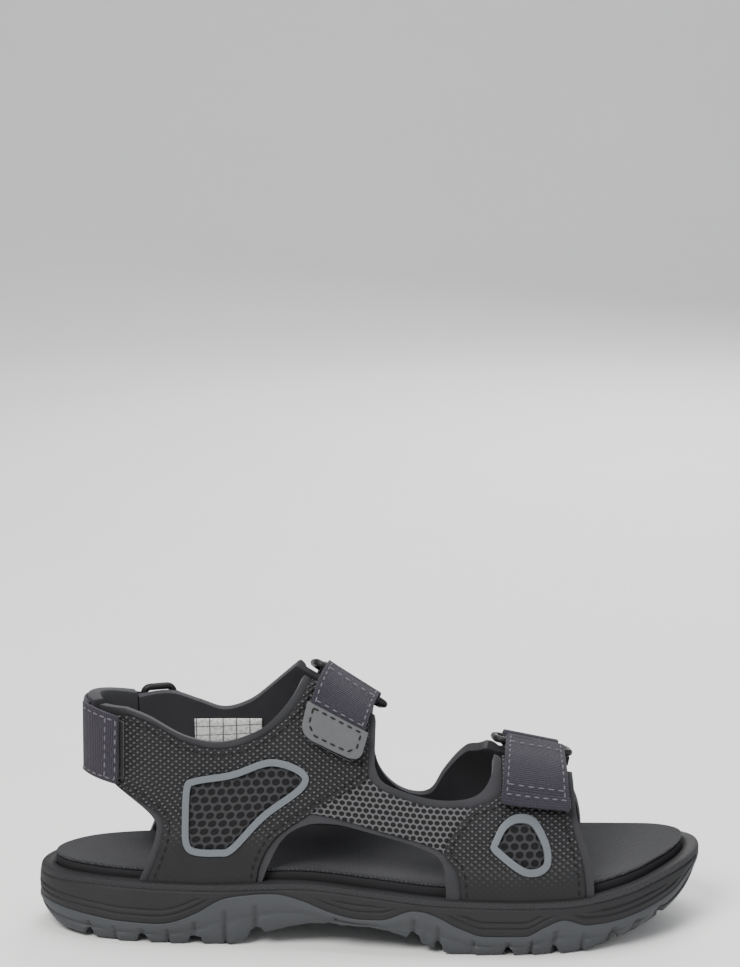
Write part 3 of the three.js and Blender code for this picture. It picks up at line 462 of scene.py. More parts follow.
def foam():
    """Moulded foam: matte, finely grained, with a hatched band along its top edge."""
    s = Shader("midsole_foam", 0.7, 0.35)
    u, v = s.cloth()
    hatch = s.ripple(s.math("ADD", u, s.math("MULTIPLY", v, 0.9)), 1.15)
    band = s.step(v, -2.7, -2.4)
    fine = s.noise(1600.0)
    height = s.math("ADD", s.math("MULTIPLY", hatch, band), s.math("MULTIPLY", fine, 0.12))
    tone = s.blend(s.noise(35.0), (0.010, 0.010, 0.011), (0.018, 0.018, 0.020))
    color = s.blend(s.math("MULTIPLY", s.math("MULTIPLY", hatch, band), 0.6), tone, (0.050, 0.051, 0.054))
    return s.finish(color, height, 0.35)


def printed_label():
    """White tape with a plain printed grid."""
    s = Shader("label_grid", 0.8, 0.3)
    u, v = s.cloth()
    lines = [s.math("LESS_THAN", s.math("FRACT", s.math("DIVIDE", w, size)), 0.09) for w, size in ((u, 6.1), (v, 4.2))]
    ink = s.math("MAXIMUM", *lines)
    marks = s.math("GREATER_THAN", s.noise(900.0, 0.0), 0.57)
    inside = s.math("MULTIPLY", marks, 0.35)
    color = s.blend(s.math("MAXIMUM", ink, inside), (0.80, 0.80, 0.78), (0.12, 0.12, 0.13))
    return s.finish(color, s.noise(2400.0), 0.03)


def pile():
    s = Shader("hook_and_pile", 0.95, 0.15, 0.4)
    return s.finish(s.blend(s.noise(900.0), (0.008, 0.008, 0.009), (0.024, 0.024, 0.027)), s.noise(2200.0, 6.0), 0.35)


def thread(name, color):
    s = Shader(name, 0.7, 0.35)
    return s.finish(s.blend(s.noise(2500.0), tuple(c * 0.6 for c in color), color), s.noise(5000.0), 0.03)


RUBBER = moulded("outsole_rubber", (0.030, 0.032, 0.035), (0.058, 0.062, 0.068), 1100.0, 0.05, 0.62, 0.35)
FOAM = foam()
SOCK_FOAM = moulded("footbed_foam", (0.012, 0.012, 0.013), (0.022, 0.022, 0.024), 1800.0, 0.06, 0.85, 0.2)
KNIT = knit_top()
NEOPRENE = neoprene()
OVERLAY_SKIN = embossed_overlay()
# Each mesh's last colour, near black, is painted shade in its holes.
WINDOW_MESH = spacer_mesh("window_mesh", 4.3, (0.044, 0.044, 0.049), (0.0015, 0.0015, 0.0015))
SIDE_MESH = spacer_mesh("side_mesh", 2.9, (0.135, 0.136, 0.142), (0.004, 0.004, 0.0045))
TPU = moulded("frame_tpu", (0.085, 0.096, 0.108), (0.130, 0.145, 0.162), 1400.0, 0.03, 0.45, 0.45)
WEBBING = webbing()
PLASTIC = moulded("ring_acetal", (0.006, 0.006, 0.007), (0.012, 0.012, 0.013), 700.0, 0.02, 0.5, 0.3)
TAB_RUBBER = moulded("pull_tab_rubber", (0.050, 0.051, 0.054), (0.125, 0.127, 0.133), 420.0, 0.16, 0.66, 0.3)
LABEL = printed_label()
FASTENER = pile()
BLACK_THREAD = thread("black_thread", (0.004, 0.004, 0.004))
PALE_THREAD = thread("pale_thread", (0.135, 0.126, 0.148))


# ------------------------------------------------------------------ sole
def directions(path):
    """The direction of a closed path at each of its points."""
    along = np.roll(path, -1, axis=0) - np.roll(path, 1, axis=0)
    return along / np.linalg.norm(along, axis=1, keepdims=True)


def plan_outline():
    """The sole's plan from the toe along the outer side to the heel and back, with its normals."""
    half = np.interp(np.linspace(0, ARC_LENGTH[-1], 150), ARC_LENGTH, END_ALONG) * HALF_LENGTH
    down = np.concatenate([half[::-1], -half[1:]])
    back = down[::-1][1:-1]
    points = np.concatenate([
        np.stack([down, sole_edge(LATERAL, down, 0)], axis=1), np.stack([back, sole_edge(MEDIAL, back, 0)], axis=1)])
    along = directions(points)
    return points, np.stack([-along[:, 1], along[:, 0]], axis=1)


PLAN, PLAN_NORMAL = plan_outline()
PLAN_LENGTH = np.concatenate([[0], np.cumsum(np.linalg.norm(np.diff(PLAN, axis=0), axis=1))])
SPINE_END = HALF_LENGTH - 46


def plan_row(inset, height):
    """A ring round the sole. The inset and the height are numbers, arrays or functions of the plan."""
    place = PLAN - PLAN_NORMAL * np.broadcast_to(inset, len(PLAN))[:, None]
    z = height(place[:, 0], place[:, 1]) if callable(height) else np.broadcast_to(height, len(PLAN))
    return np.column_stack([place, z])


def rows_inwards(inset, height, count):
    """Rings from an inset of the plan to its spine."""
    start = PLAN - PLAN_NORMAL * inset
    spine_x = np.clip(start[:, 0], -SPINE_END, SPINE_END)
    spine = np.column_stack([spine_x, middle(spine_x)])
    places = [start + (spine - start) * share for share in np.linspace(0, 1, count + 1)[1:]]
    return [np.column_stack([p, height(p[:, 0], p[:, 1])]) for p in places]


def plan_uvs(rows):
    return [np.column_stack([row[:, 0], row[:, 1]]) for row in rows]


# Grooves between the lugs: place along the sole, width, and how far back the chevron sweeps at the edge.
GROOVES = [(-122, 4, 6), (-96.5, 5, 8), (-73, 6, 8), (-46, 6, 8), (24, 5, 8), (36, 3.5, 10), (66.5, 3.5, 10),
           (87, 3, 10), (112, 4, 10), (131, 3.5, 8)]
CENTRE_GROOVES = [(-112, -60), (44, 100)]


def groove_depth(x, y):
    """Depth of the tread's grooves, with sides that slope a little."""
    depth = np.zeros_like(x)
    for place, width, sweep in GROOVES:
        off = np.abs(x - (place - sweep * np.abs(y) / 80))
        depth = np.maximum(depth, 4 * np.clip((width / 2 + 0.5 - off) / 1.0, 0, 1))
    for start, end in CENTRE_GROOVES:
        inside = np.clip(np.minimum(x - start, end - x), 0, 1)
        depth = np.maximum(depth, 4 * inside * np.clip((3.0 - np.abs(y - middle(end))) / 1.0, 0, 1))
    fine = np.clip(1.1 - np.abs((x + 0.12 * np.abs(y)) % 9.0 - 4.5), 0, 1) * np.clip((np.abs(y) - 9) / 2, 0, 1)
    return np.maximum(depth, 0.8 * fine)


def lug_cuts(x, y):
    """Along the edge of the tread: narrow cuts above each groove, and the slant of each lug's face between them."""
    cut, facet = np.zeros_like(x), np.zeros_like(x)
    places = [place - sweep * np.abs(y) / 80 for place, _, sweep in GROOVES]
    for here, ahead in zip(places[:-1], places[1:]):
        share = (x - here) / (ahead - here)
        between = (share >= 0) & (share <= 1)
        facet = np.where(between, (share * 2) % 1.0, facet)
        cut = np.maximum(cut, np.clip(1.2 - np.abs(x - (here + ahead) / 2) / 0.7, 0, 1) * (np.abs(ahead - here) > 18))
    for place in places:
        cut = np.maximum(cut, np.clip(1.5 - np.abs(x - place) / 0.8, 0, 1))
    return cut, facet


def make_outsole():
    bottom = lambda x, y: underside(x) + groove_depth(x, y)
    x, y = PLAN.T
    low, top = underside(x), rubber_top(x)
    depth = groove_depth(x, y)
    rows = rows_inwards(6.0, bottom, 44)[::-1]
    rows += [plan_row(inset, bottom) for inset in (6.0, 5.2, 4.6)]
    flare = profile([(0, 3.6), (0.06, 2.5), (0.40, 0.9), (0.47, 1.6), (0.62, 0.7), (0.8, 0), (1, 0.1)])
    cut, facet = lug_cuts(x, y)
    for share in np.linspace(0.03, 1, 34):
        z = np.maximum(low + share * (top - low), low + depth + 0.25 * share)
        low_part = np.clip((0.46 - share) / 0.06, 0, 1)
        cut_part = np.clip((0.80 - share) / 0.10, 0, 1)
        rows.append(plan_row(flare(share) + 1.5 * facet * low_part + 1.4 * cut * cut_part, z))
    rows.append(plan_row(0.45, top + 0.25))
    rows.append(plan_row(1.2, top + 0.3))
    rows += rows_inwards(4.0, lambda x, y: np.maximum(rubber_top(x) - 3, underside(x) + 5), 10)
    uvs = plan_uvs(rows)
    obj = shell("outsole_look", rows, uvs)
    return finish_piece(obj, RUBBER, replaces=["outsole"])


def notch(value, width):
    return np.clip(1 - np.abs(value) / width, 0, 1) ** 0.7


def make_midsole():
    x = PLAN[:, 0]
    low, top = rubber_top(x) + 0.3, foam_top(x)
    bulge = profile([(0, 0.5), (0.3, 0), (0.65, 0.3), (0.92, 0.9), (1, 1.5)])
    tall = np.clip((top - low - 8) / 3, 0, 1)
    rows, uvs = [], []
    for share in np.linspace(0, 1, 40):
        z = low + share * (top - low) - 0.25 * share**12
        groove = 0.6 * notch(z - (top - 2.9), 0.5)
        groove = np.maximum(groove, 0.8 * tall * notch(z - (low + 3.4), 0.75) * (z < top - 6))
        groove = np.maximum(groove, 0.8 * tall * notch(z - (low + 6.2), 0.75) * (z < top - 6))
        rows.append(plan_row(bulge(share) + groove, z))
        uvs.append(np.column_stack([PLAN_LENGTH, z - top]))
    ledge = lambda x, y: foam_top(x)
    tray = lambda x, y: foam_top(x) - 2.6
    below = lambda x, y: rubber_top(x) + 0.3
    inner = [plan_row(2.1, ledge), plan_row(4.5, ledge), plan_row(6.6, ledge), plan_row(7.2, tray)]
    inner += rows_inwards(9.0, tray, 6)
    outer = rows_inwards(3.0, below, 6)[::-1]
    rows = outer + rows + inner
    flat = [np.column_stack([PLAN_LENGTH, np.full(len(x), -9.0)])]
    obj = shell("midsole_look", rows, flat * len(outer) + uvs + flat * len(inner))
    return finish_piece(obj, FOAM, replaces=["midsole", "arch_shank"])


def footbed_height(x, y):
    across = np.clip(np.abs(y - middle(x)) / (38 * end_factor(x, HALF_LENGTH - LEDGE) + 0.01), 0, 1)
    return foam_top(x) + FOOTBED_RISE - HEEL_DISH * end_factor(x, HALF_LENGTH - LEDGE) * (1 - across**2)


def make_footbed():
    low = lambda x, y: foam_top(x) - 2.4
    share_row = lambda inset, drop: plan_row(inset, lambda x, y: footbed_height(x, y) - drop)
    rows = rows_inwards(9.0, low, 4)[::-1] + [plan_row(8.1, low), plan_row(7.5, lambda x, y: foam_top(x) - 1.6)]
    rows.append(plan_row(7.5, lambda x, y: foam_top(x) + 1.2))
    rows += [share_row(7.6, 0.9), share_row(7.9, 0.35), share_row(8.4, 0.1)]
    rows += rows_inwards(8.8, footbed_height, 24)
    base = finish_piece(shell("footbed_look", rows, plan_uvs(rows)), SOCK_FOAM, replaces=["footbed"])

    over = lambda drop: (lambda x, y: footbed_height(x, y) + GAP + COVER - drop)
    under = lambda x, y: footbed_height(x, y) + 0.1
    rows = rows_inwards(9.5, under, 8)[::-1] + [plan_row(8.3, under)]
    rows += [plan_row(inwards, over(drop)) for inwards, drop in
             [(7.75, 1.0), (7.7, 0.6), (7.95, 0.22), (8.4, 0.05), (9.0, 0)]]
    rows += rows_inwards(9.6, over(0), 36)
    cover = finish_piece(shell("footbed_top_look", rows, plan_uvs(rows)), KNIT, replaces=["footbed_cover"])
    return base, cover


make_outsole()
make_midsole()
make_footbed()


# ------------------------------------------------------------------ outlines in the side view
def outline(stretches, step=1.6):
    """Points along stretches, each a straight line or a smooth curve through its [x, z] points."""
    points = []
    for stretch in stretches:
        p = np.array(stretch, float)
        if len(p) > 2:
            q = np.concatenate([p[:1], p, p[-1:]])
            t = np.linspace(0, 1, 9)[:-1, None]
            curve = [0.5 * (2 * q[i] + (q[i + 1] - q[i - 1]) * t
                     + (2 * q[i - 1] - 5 * q[i] + 4 * q[i + 1] - q[i + 2]) * t**2
                     + (3 * q[i] - q[i - 1] - 3 * q[i + 1] + q[i + 2]) * t**3) for i in range(1, len(q) - 2)]
            p = np.concatenate([*curve, p[-1:]])
        points.append(p)
    return even(np.concatenate(points), step, closed=True)


def even(points, step, closed=False):
    """The same path with points at even distances, corners kept."""
    ends = np.concatenate([points, points[:1]]) if closed else points
    lengths = np.linalg.norm(np.diff(ends, axis=0), axis=1)
    ends = ends[np.concatenate([[True], lengths > 0.02])]
    out = []
    for a, b in zip(ends[:-1], ends[1:]):
        count = max(1, round(float(np.linalg.norm(b - a)) / step))
        out += [a + (b - a) * k / count for k in range(count)]
    return np.array(out if closed else out + [ends[-1]])


def inset(points, distance):
    """A closed outline moved inwards, or outwards where the distance is negative."""
    x, z = points.T
    turn = 1 if np.sum(x * np.roll(z, -1) - np.roll(x, -1) * z) > 0 else -1
    before = points - np.roll(points, 1, axis=0)
    after = np.roll(points, -1, axis=0) - points
    before /= np.linalg.norm(before, axis=1, keepdims=True) + 1e-9
    after /= np.linalg.norm(after, axis=1, keepdims=True) + 1e-9
    along = before + after
    along /= np.linalg.norm(along, axis=1, keepdims=True) + 1e-9
    spread = np.maximum(0.5, np.sum(along * after, axis=1))
    return points + np.column_stack([-along[:, 1], along[:, 0]]) * (turn * distance / spread)[:, None]


def inside(spots, polygon):
    x, y = spots[:, 0, None], spots[:, 1, None]
    ax, ay = polygon.T
    bx, by = np.roll(polygon, -1, axis=0).T
    crosses = (ay > y) != (by > y)
    at = ax + (y - ay) / np.where(by == ay, 1e-9, by - ay) * (bx - ax)
    return np.sum(crosses & (x < at), axis=1) % 2 == 1


def distance_to(spots, polygon):
    a, b = polygon, np.roll(polygon, -1, axis=0)
    along = b - a
    t = np.clip(np.sum((spots[:, None] - a) * along, axis=2) / (np.sum(along**2, axis=1) + 1e-12), 0, 1)
    return np.min(np.linalg.norm(spots[:, None] - (a + t[..., None] * along), axis=2), axis=1)


# ------------------------------------------------------------------ panels of the upper
LOWEST = -3.6


def girth(side, a, b):
    """How far up the side of the foot a spot lies, in millimetres along the surface."""
    x, _ = xz_of(a, np.maximum(b, 0))
    tall, wide = crest(x) - foam_top(x), edge_width(side, x) - LEDGE
    turn = np.radians(np.maximum(b, 0)) * np.linspace(0, 1, 17)[:, None]
    rate = np.hypot(tall * np.cos(turn), wide * np.sin(turn))
    return np.where(b < 0, b, (rate[1:] + rate[:-1]).mean(axis=0) / 2 * np.radians(np.maximum(b, 0)))


def angle_at(side, a, s):
    low, high = np.zeros_like(a), np.full_like(a, 90.0)
    for _ in range(22):
        b = (low + high) / 2
        over = girth(side, a, b) > s
        low, high = np.where(over, low, b), np.where(over, b, high)
    return np.where(s < 0, s, low)


def off_middle(side, a, b):
    return side * lift_off(side, a, b, 0.0)[..., 1]


def keep_from_middle(side, a, b, ear):
    """Moves spots that are nearer to the middle than the ear's edge onto that edge."""
    near = off_middle(side, a, b) < ear
    for which in (near & (a < -95), near & (a >= -95)):
        if not which.any():
            continue
        round_heel = bool((a[which] < -95).all())
        bad, good = (a[which], np.full(which.sum(), -95.0)) if round_heel else (b[which], np.zeros(which.sum()))
        for _ in range(26):
            trial = (bad + good) / 2
            spot = (trial, b[which]) if round_heel else (a[which], trial)
            over = off_middle(side, *spot) < ear
            bad, good = np.where(over, trial, bad), np.where(over, good, trial)
        if round_heel:
            a[which] = good
        else:
            b[which] = good
    return a, b


def placed(side, points, ear):
    """An outline of [x, z] points as spots (a, girth) on one side of the foot."""
    a, b = spot_of(points[:, 0], points[:, 1])
    a, b = keep_from_middle(side, a.copy(), np.maximum(b, LOWEST), ear)
    spots = np.column_stack([a, girth(side, a, b)])
    apart = np.linalg.norm(spots - np.roll(spots, 1, axis=0), axis=1) > 0.15
    return spots[apart]


def panel(name, side, rim, layer, ear=1.0, holes=(), edge=0.4, segments=2, step=2.4, puff=0.0, under=()):
    """A sheet of the upper between two heights off the foot, cut to an outline, with holes in it.

    It swells by the puff away from its edges, or, where pieces lie over it, only outside them.
    """
    loops = [placed(side, points, ear) for points in (rim, *holes)]
    low, high = loops[0].min(axis=0), loops[0].max(axis=0)
    grid = [(a + (row % 2) * step / 2, s) for row, s in enumerate(np.arange(low[1] + step / 2, high[1], step * 0.87))
            for a in np.arange(low[0] + step / 2, high[0], step)]
    grid = np.array(grid)
    grid = grid[inside(grid, loops[0]) & (distance_to(grid, loops[0]) > step * 0.45)]
    for loop in loops[1:]:
        grid = grid[~inside(grid, loop) & (distance_to(grid, loop) > step * 0.45)]
    spots, edges = [], []
    for loop in loops:
        start = len(spots)
        spots += [tuple(p) for p in loop]
        edges += [(start + i, start + (i + 1) % len(loop)) for i in range(len(loop))]
    spots += [tuple(p) for p in grid]
    found = delaunay_2d_cdt([Vector(p) for p in spots], edges, [], 0, 1e-5)
    flat, faces = np.array([tuple(v) for v in found[0]]), found[2]
    centres = np.array([flat[list(f)].mean(axis=0) for f in faces])
    kept = inside(centres, loops[0])
    for loop in loops[1:]:
        kept &= ~inside(centres, loop)
    faces = [list(f) for f, keep in zip(faces, kept) if keep]
    used = sorted({v for f in faces for v in f})
    number = {v: i for i, v in enumerate(used)}
    flat = flat[used]
    faces = [tuple(number[v] for v in (f if side == LATERAL else reversed(f))) for f in faces]
    a, s = flat.T
    b = angle_at(side, a, s)
    fade = np.ones(len(flat)) * 99
    for loop in [] if under else loops:
        fade = np.minimum(fade, distance_to(flat, loop))
    for points in under:
        loop = placed(side, points, ear)
        fade = np.minimum(fade, np.where(inside(flat, loop), 0, distance_to(flat, loop)))
    lift = puff * (1 - np.exp(-fade / (0.9 if under else 2.2)))
    inner, outer = lift_off(side, a, b, layer[0]), lift_off(side, a, b, layer[1] + lift)
    return closed_sheet(name, inner, outer, faces, flat, edge, segments)


BELOW_FOOT, PAST_HEEL, ABOVE_EAR = 5, -132, 121
LINING_FRONT = [
    [[88.2, ABOVE_EAR], [88.2, 70]],
    [[88.2, 70], [89.4, 54.9], [94.9, 38.1], [96.3, 25], [96.3, BELOW_FOOT]],
]
QUARTER_FRONT = [
    [[85, ABOVE_EAR], [85, 70]],
    [[85, 70], [86.3, 54.9], [91, 38.1], [92.3, 25], [92.3, BELOW_FOOT]],
]
OUTLINES = {
    LATERAL: {
        "lining": outline([
            [[-100.5, BELOW_FOOT], [-100.5, 27.9]],
            [[-100.5, 27.9], [-93.5, 46], [-94.5, 56], [-110.7, 67.8]],
            [[PAST_HEEL, 68.5], [PAST_HEEL, 101.5]],
            [[-106, 102.5], [-96.1, 99.4], [-80.6, 91.7], [-65, 89.2], [-50, 93.4], [-41.4, 99.4], [-32, 110],
             [-27, ABOVE_EAR]],
            [[0.5, ABOVE_EAR], [1.5, 78]],
            [[1.5, 78], [6.5, 71.1], [26, 64.6], [43, 64], [51.4, 69.1], [54, 80], [54, ABOVE_EAR]],
            *LINING_FRONT,
            [[33.3, BELOW_FOOT], [33.3, 25]],
            [[33.3, 25], [31.5, 40], [21.8, 46.3], [-0.4, 52.5], [-15.3, 55.6], [-28, 54.5], [-38.3, 47.3],
             [-46.5, 30], [-47, 22]],
            [[-47, 22], [-47, BELOW_FOOT]],
        ]),
        "rear_quarter": outline([
            [[-97, BELOW_FOOT], [-97, 28]],
            [[-97, 28], [-90.3, 46], [-91.5, 57], [-109.2, 67.8]],
            [[PAST_HEEL, 69.5], [PAST_HEEL, 98.5]],
            [[-104, 99.5], [-94, 96], [-80.5, 88.8], [-65, 86], [-49, 90.3], [-37, 98.2], [-28.5, 109],
             [-23.5, ABOVE_EAR]],
            [[-2.5, ABOVE_EAR], [-1.5, 76]],
            [[-1.5, 73], [-13, 67.3], [-27, 59], [-41, 48.5], [-48, 36], [-50, 22]],
            [[-50, 22], [-50, BELOW_FOOT]],
        ]),
        "front_quarter": outline([
            [[40, BELOW_FOOT], [40, 25]],
            [[40, 25], [38.5, 36], [32.6, 45], [38, 54], [44.5, 60.5], [54, 63], [57, 70], [57.5, ABOVE_EAR]],
            *QUARTER_FRONT,
        ]),
        "side_mesh": outline([
            [[-27, 60], [-27, 74]],
            [[-1, 74], [4, 69.5], [14, 65.3], [27, 61.8], [43, 61]],
            [[48, 57], [48, 44]],
            [[34, 43], [24.5, 47.5], [5.2, 52.8], [-10, 57], [-20, 59]],
        ]),
        "rear_window": outline([[[-81.3, 55], [-80.3, 70], [-76, 73.6], [-60, 76.6], [-43, 82], [-28.5, 77.5],
                                 [-28, 70], [-45, 57], [-59, 42.3], [-66, 40.2], [-77, 40.6], [-81, 45], [-81.3, 55]]]),
    },
    MEDIAL: {
        "lining": outline([
            [[-100.5, BELOW_FOOT], [-100.5, 27.9]],
            [[-100.5, 27.9], [-94, 46], [-94.5, 57], [-103, 64]],
            [[-103, 64], [-103, 98]],
            [[-103, 98], [-89, 99], [-76.3, 94.5], [-65.1, 90.7], [-53.8, 94.2], [-44.7, 101.8], [-34, 113],
             [-29, ABOVE_EAR]],
            [[0.5, ABOVE_EAR], [0.5, 78]],
            [[0.5, 78], [4, 62], [11, 52], [20, 46.6], [28.3, 47], [34.1, 57], [42.9, 69.5], [52, 77],
             [54, ABOVE_EAR]],
            *LINING_FRONT,
        ]),
        "rear_quarter": outline([
            [[-97, BELOW_FOOT], [-97, 28]],
            [[-97, 28], [-90.5, 46], [-87, 58], [-82, 72], [-81.5, 94]],
            [[-81.5, 94], [-74, 90.8], [-64, 87.5], [-52.5, 91.3], [-42.5, 99.5], [-31, 111], [-26, ABOVE_EAR]],
            [[-2.5, ABOVE_EAR], [-2.5, 74]],
            [[-2.5, 74], [-10, 66], [-27, 57], [-41, 47], [-48, 36], [-50, 22]],
            [[-50, 22], [-50, BELOW_FOOT]],
        ]),
        "front_quarter": outline([
            [[34, BELOW_FOOT], [34, 25]],
            [[34, 25], [32.6, 45], [39, 57], [47, 67], [56, 73], [57.5, ABOVE_EAR]],
            *QUARTER_FRONT,
        ]),
        "side_mesh": outline([
            [[-60, BELOW_FOOT], [-60, 74]],
            [[-2, 74], [1, 61], [9, 49.5], [19, 43.6], [31, 43], [40, 44]],
            [[45, 44], [45, BELOW_FOOT]],
        ]),
        "rear_window": outline([[[-66.3, 55], [-66, 68], [-62, 72.6], [-54, 75.6], [-43, 80], [-28.5, 76],
                                 [-28, 69], [-41, 57], [-50, 44], [-54, 41.2], [-61, 41], [-66, 46], [-66.3, 55]]]),
    },
}
FRONT_WINDOW = outline([[[52, 46.5], [56.5, 54.2], [63, 57.2], [71, 55.4], [76.5, 47], [77.5, 39.9], [75, 36.2],
                         [70, 34.8], [64, 36.4], [54, 43.6], [52, 46.5]]])
EAR = {LATERAL: {"lining": 9, "rear": 9, "front": 9}, MEDIAL: {"lining": 6.5, "rear": 17.5, "front": 21}}


def make_panels(word, side):
    shapes = OUTLINES[side] | {"front_window": FRONT_WINDOW}
    ears = EAR[side]
    over = [shapes[key] for key in ("rear_quarter", "front_quarter", "side_mesh")]
    lining = panel(f"{word}_lining_look", side, shapes["lining"], (0, LINING), ears["lining"], edge=1.3, segments=5,
                   step=1.7, puff=1.5, under=over)
    finish_piece(lining, NEOPRENE, replaces=[f"{word}_lining"])
    for place in ("rear", "front"):
        window, quarter = shapes[f"{place}_window"], shapes[f"{place}_quarter"]
        skin = panel(f"{word}_{place}_skin", side, quarter, OVERLAY, ears[place], holes=[window], edge=0.45, segments=3)
        finish_piece(skin, OVERLAY_SKIN, replaces=[f"{word}_{place}_quarter"])
        mesh = panel(f"{word}_{place}_net", side, inset(window, 1.9), MESH, edge=0.2, puff=0.5)
        finish_piece(mesh, WINDOW_MESH, replaces=[f"{word}_{place}_window_mesh"])
        frame_piece = panel(f"{word}_{place}_rim", side, inset(window, -0.15), WINDOW_FRAME,
                            holes=[inset(window, 2.75)], edge=0.85, segments=4, step=1.5)
        finish_piece(frame_piece, TPU, replaces=[f"{word}_{place}_window_frame"])
    quarters = [inset(shapes["rear_quarter"], 0.8), inset(shapes["front_quarter"], 0.8)]
    bridge = panel(f"{word}_side_net", side, shapes["side_mesh"], MESH, holes=quarters, edge=0.3)
    finish_piece(bridge, SIDE_MESH, replaces=[f"{word}_side_mesh"])


for word, side in SIDES.items():
    make_panels(word, side)


# ------------------------------------------------------------------ stitches
def stitch(name, runs, body=ROOT, material=None, dash=2.5, space=1.4, radius=0.42):
    """Rows of stitches along runs of (points, normals), each stitch a small rounded rod lying on the surface."""
    points, faces = [], []
    shares = np.linspace(0, 1, 6)
    swell = np.sqrt(np.clip(1 - (2 * shares - 1) ** 4, 0.02, 1))
    for place, normal in runs:
        length = np.concatenate([[0], np.cumsum(np.linalg.norm(np.diff(place, axis=0), axis=1))])
        if length[-1] < dash:
            continue
        count = int((length[-1] + space) // (dash + space))
        step = (length[-1] + space) / count
        for k in range(count):
            at = k * step + shares * (step - space)
            centre = np.column_stack([np.interp(at, length, place[:, i]) for i in range(3)])
            up = np.column_stack([np.interp(at, length, normal[:, i]) for i in range(3)])
            along = np.gradient(centre, axis=0)
            across = np.cross(along, up)
            across /= np.linalg.norm(across, axis=1, keepdims=True)
            start = len(points)
            for j in range(6):
                for turn in range(6):
                    angle = turn * math.pi / 3
                    reach = radius * swell[j]
                    points.append(centre[j] + reach * (across[j] * math.cos(angle) + up[j] * (math.sin(angle) + 0.15)))
            faces += [tuple(start + v for v in f) for f in grid_faces(6, 6, wrap=True)]
            faces += [tuple(start + v for v in range(6)), tuple(start + 35 - v for v in range(6))]
    obj = new_object(name, np.array(points), faces)
    face_outwards(obj)
    return finish_piece(obj, material, body)


def edge_runs(side, rim, distance, ear, height):
    """Runs along an outline's own edges, leaving out the sole line and the ear's cut."""
    spots = placed(side, even(inset(rim, distance), 1.2, closed=True), ear + distance * 0.8)
    a, girths = spots.T
    b = angle_at(side, a, girths)
    keep = (girths > 1.0) & (off_middle(side, a, b) > ear + distance)
    first = int(np.argmin(keep))
    order = np.roll(np.arange(len(keep)), -first)
    runs, run = [], []
    for i in order:
        if keep[i]:
            run.append(i)
        elif run:
            runs.append(run)
            run = []
    runs += [run] if run else []
    out = []
    for run in runs:
        if len(run) < 4:
            continue
        x, z = xz_of(a[run], b[run])
        ground = on_foot(side, x, z)
        normal = foot_normal(side, ground[:, 0], ground[:, 1], ground[:, 2])
        out.append((ground + normal * height, normal))
    return out


for word, side in SIDES.items():
    runs = []
    for place in ("rear", "front"):
        runs += edge_runs(side, OUTLINES[side][f"{place}_quarter"], 2.4, EAR[side][place], OVERLAY[1] + 0.05)
    stitch(f"{word}_stitching", runs, material=BLACK_THREAD)


# ------------------------------------------------------------------ rings and loops
def unit(v):
    return v / np.linalg.norm(v)


def bar_frame(origin, u, across):
    v = unit(across - u * across.dot(u))
    return origin, u, v, np.cross(u, v)


def welded_rings(name, grid, uvs):
    """A closed tube whose sections also close on themselves."""
    rows, columns = grid.shape[:2]
    faces = []
    for i in range(rows):
        for j in range(columns):
            k, m = (i + 1) % rows, (j + 1) % columns
            faces.append((i * columns + j, k * columns + j, k * columns + m, i * columns + m))
    obj = new_object(name, grid.reshape(-1, 3), faces, np.asarray(uvs, float).reshape(-1, 2))
    return face_outwards(obj)


def make_ring(name, frame_at, length, span, body, node):
    """A ring of round rod: its long bars lie at v = 0 and v = span."""
    origin, u, v, n = frame_at
    corner, half = 3.0, length / 2
    route = []
    turns = [(half - corner, corner, -90), (half - corner, span - corner, 0), (corner - half, span - corner, 90),
             (corner - half, corner, 180)]
    for cu, cv, start in turns:
        for turn in np.radians(start + np.linspace(0, 90, 9)):
            route.append((cu + corner * math.cos(turn), cv + corner * math.sin(turn)))
    route = even(np.array(route), 2.0, closed=True)
    along = directions(route)
    grid, uvs = [], []
    for (pu, pv), (tu, tv) in zip(route, along):
        ring = []
        for turn in np.linspace(0, 2 * math.pi, 20, endpoint=False):
            reach = BAR_RADIUS * math.cos(turn)
            ring.append(origin + u * (pu + tv * reach) + v * (pv - tu * reach) + n * BAR_RADIUS * math.sin(turn))
        grid.append(ring)
        uvs.append([(pu, pv)] * 20)
    finish_piece(welded_rings(name, np.array(grid), uvs), PLASTIC, body, [node])


def make_loop(name, frame_at, width, body):
    """A sleeve of webbing round a bar."""
    origin, u, v, n = frame_at
    section = [(-width / 2 + 0.35, LOOP_RADIUS), (width / 2 - 0.35, LOOP_RADIUS), (width / 2, LOOP_RADIUS - 0.3),
               (width / 2, BORE_RADIUS + 0.2), (width / 2 - 0.3, BORE_RADIUS), (-width / 2 + 0.3, BORE_RADIUS),
               (-width / 2, BORE_RADIUS + 0.2), (-width / 2, LOOP_RADIUS - 0.3)]
    section = even(np.array(section), 1.3, closed=True)
    grid, uvs = [], []
    for turn in np.linspace(0, 2 * math.pi, 40, endpoint=False):
        out = v * math.cos(turn) + n * math.sin(turn)
        grid.append([origin + u * along + out * reach for along, reach in section])
        uvs.append([(along, turn * LOOP_RADIUS) for along, _ in section])
    return finish_piece(welded_rings(name, np.array(grid), uvs), WEBBING, body)


# ------------------------------------------------------------------ straps over the foot
STRAPS = {
    "instep": dict(top=(-23.5, 0), low=(-29, -6.5), low_angle=47.5, near=90, far=109, tail=138, pile_low=45,
                   tail_start=3.5),
    "forefoot": dict(top=(58.5, 84), low=(56, 85), low_angle=44, near=91.5, far=106, tail=126, pile_low=47,
                     tail_start=3.2),
}
SETTLE = 14
STRAP_COLUMNS = 26
STRAP_WIDTH = 25


